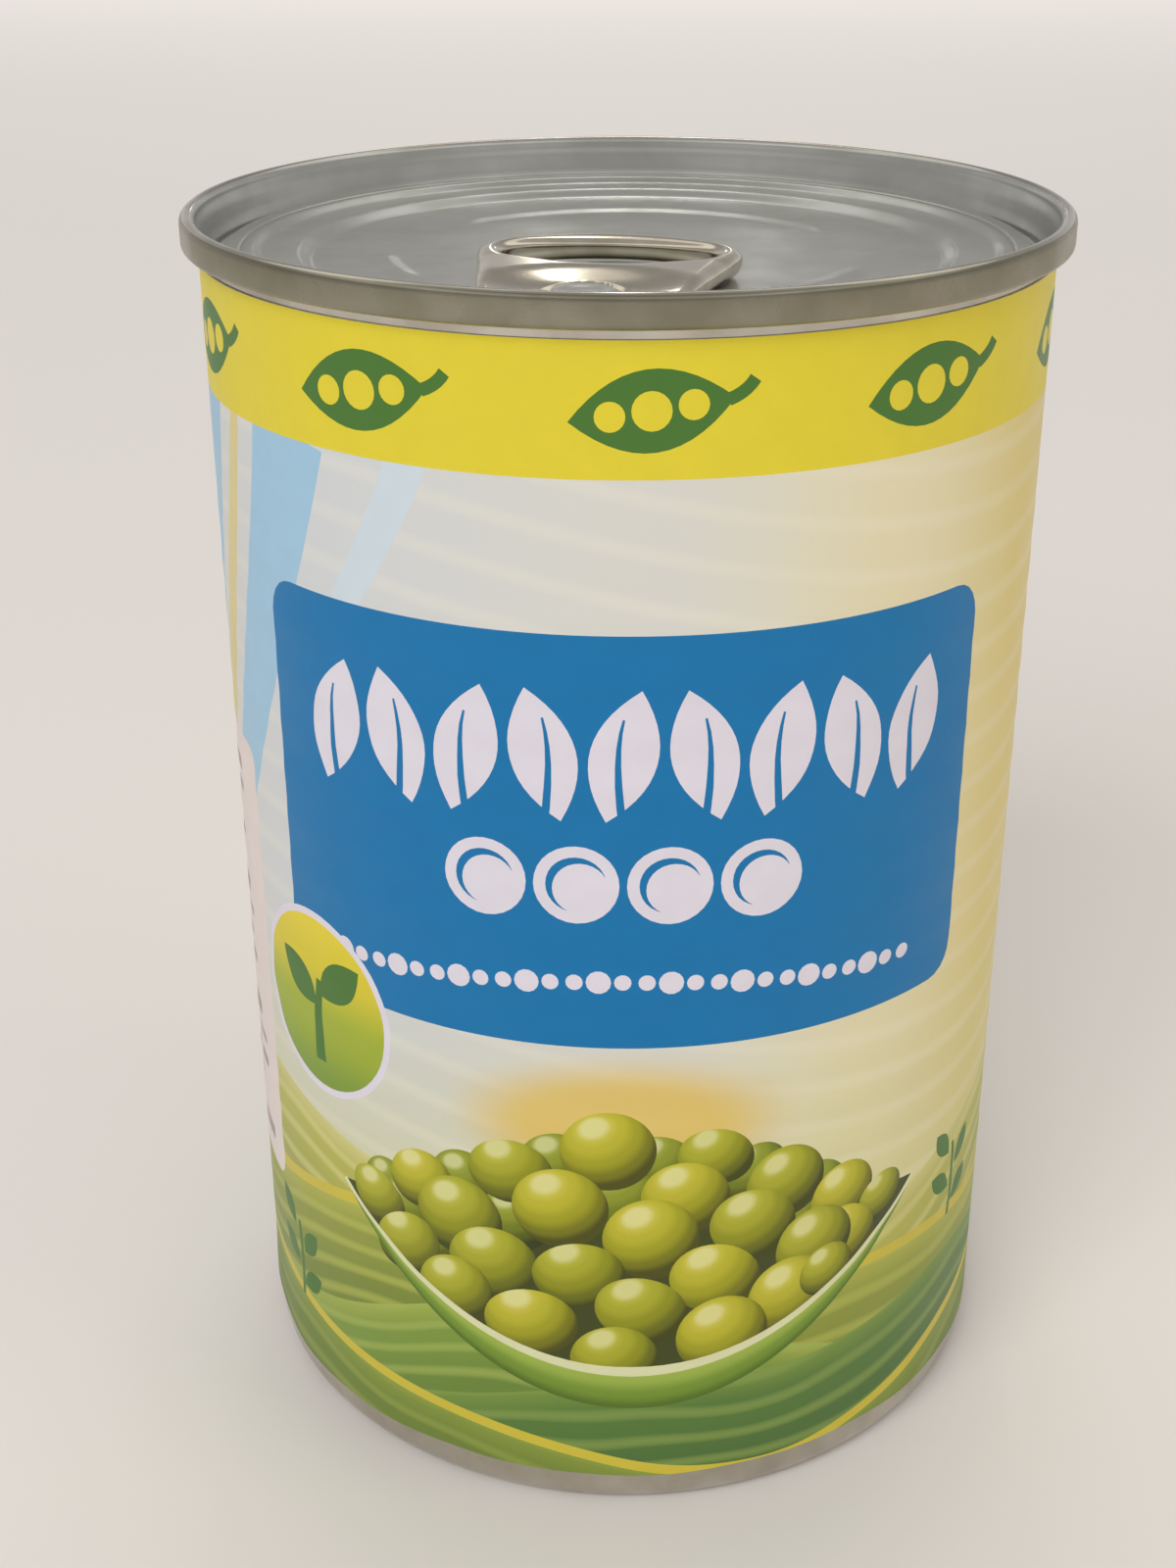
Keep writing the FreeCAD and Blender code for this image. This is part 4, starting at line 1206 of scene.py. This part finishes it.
# %% Glow behind the peas
GLOW_HEIGHT, GLOW_HALF = 42.0, (17, 8.0)
near = add(tree, "VectorMath", {0: sheet, 1: (0.0, -GLOW_HEIGHT, 0.0)}, operation="ADD")
near = {0: near, 1: (1 / GLOW_HALF[0], 1 / GLOW_HALF[1], 0.0)}
near = add(tree, "VectorMath", near, operation="MULTIPLY")
near = add(tree, "VectorMath", {0: near}, operation="LENGTH").outputs["Value"]
near = {"Value": near, 1: 1.0, 2: 0.45, 3: 0.0, 4: 0.85}
glow = add(tree, "MapRange", near, interpolation_type="SMOOTHSTEP")
shades = {0: glow, 6: ground, 7: linear("#D6B650")}
tree.links.new(add(tree, "Mix", shades, data_type="RGBA").outputs[2], printed)
print("inks:", len(inks_made))

# %% [markdown]
# ## Label piece
# The mesh takes one material slot for each ink, and the two attributes that the inks read:
# each shape's own coordinates and the flat sheet.

# %% Build the label
label = mesh_piece("paper_label_print", points, faces, [inks_made[n] for n in ink_names])
mesh = label.data
mesh.polygons.foreach_set("material_index", inks + [0] * (len(faces) - outer_faces))

starts = numpy.zeros(len(mesh.polygons), numpy.int32)
mesh.polygons.foreach_get("loop_start", starts)
corner_point = numpy.zeros(len(mesh.loops), numpy.int32)
mesh.loops.foreach_get("vertex_index", corner_point)
printed_corners = int(starts[outer_faces])
art_values = numpy.zeros((len(mesh.loops), 3))
art_values[:printed_corners, :2] = numpy.array(arts).reshape(-1, 2)
places = numpy.array(sheet_places + [(0.0, 0.0)] * (len(points) - len(sheet_places)))
sheet_values = numpy.zeros((len(mesh.loops), 3))
sheet_values[:, :2] = places[corner_point]
for name, values in (("art", art_values), ("sheet", sheet_values)):
    layer = mesh.attributes.new(name, "FLOAT_VECTOR", "CORNER")
    layer.data.foreach_set("vector", values.ravel())
print("printed corners:", printed_corners, "of", len(mesh.loops))

# %% [markdown]
# Its UV map is simply the flat sheet. Its normals are worked out from the wrapped surface, so
# that the uneven triangles of the print don't show in its gloss.

# %% Flat map and smooth normals
uv = mesh.uv_layers.new(name="OFBake")
flat_uv = numpy.zeros((len(mesh.loops), 2))
flat_uv[:, 0] = (sheet_values[:, 0] - FLAP_END) / ROUND
flat_uv[:, 1] = (sheet_values[:, 1] - LABEL_FOOT) / (LABEL_TOP - LABEL_FOOT) * 0.93 + 0.065
# The hidden back and the cut edges share a thin strip below the print.
hidden = numpy.array(points, float)[corner_point[printed_corners:]]
turns = (numpy.arctan2(hidden[:, 0], -hidden[:, 1]) + math.pi) / (2 * math.pi)
flat_uv[printed_corners:, 0] = turns
flat_uv[printed_corners:, 1] = hidden[:, 2] / LABEL_TOP * 0.04 + 0.005
flat_uv[:, 0] = flat_uv[:, 0] * 0.996 + 0.002
uv.data.foreach_set("uv", flat_uv.ravel())

NEAR = 0.05  # mm to either side, for the slope
normals = []
for x, z in sheet_places:
    slope = (paper_radius(x, z + NEAR) - paper_radius(x, z - NEAR)) / (2 * NEAR)
    angle = x / LABEL_RADIUS
    normals.append(Vector((math.sin(angle), -math.cos(angle), -slope)).normalized())
corner_normals = [tuple(normals[v]) for v in corner_point[:printed_corners]]
corner_normals += [(0.0, 0.0, 0.0)] * (len(mesh.loops) - printed_corners)
mesh.normals_split_custom_set(corner_normals)
print("inks on the label:", len(mesh.materials))

# %% [markdown]
# ## Pieces on the can's body
# Each new piece rides on the can's one body and stands for the solid it covers, which is
# hidden.

# %% Tie the pieces to the frame
PIECES = [
    (body, "can_body", "drawn_tinplate"),
    (end, "seamed_end", "end_tinplate"),
    (rivet, "seamed_end", "end_tinplate"),
    (tab, "ring_pull", "tab_steel"),
    (label, "paper_label", "printed_paper"),
]
for piece, node, finish in PIECES:
    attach(piece, "root")
    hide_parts(node)
print("pieces:", [piece.name for piece, _, _ in PIECES])

# %% [markdown]
# Last, the sizes of the measured box and the visible one are printed one after the other, in
# millimetres. They should agree, because a piece that stands out past the measured solids would be
# made wrong.

# %% Measure and finish
visual_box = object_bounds()
sizes = {
    "cad": [list(corner) for corner in cad_box],
    "visual": [list(corner) for corner in visual_box],
}
for name, (low, high) in sizes.items():
    print(name, "box in mm:", [round((b - a) / MM, 2) for a, b in zip(low, high)])
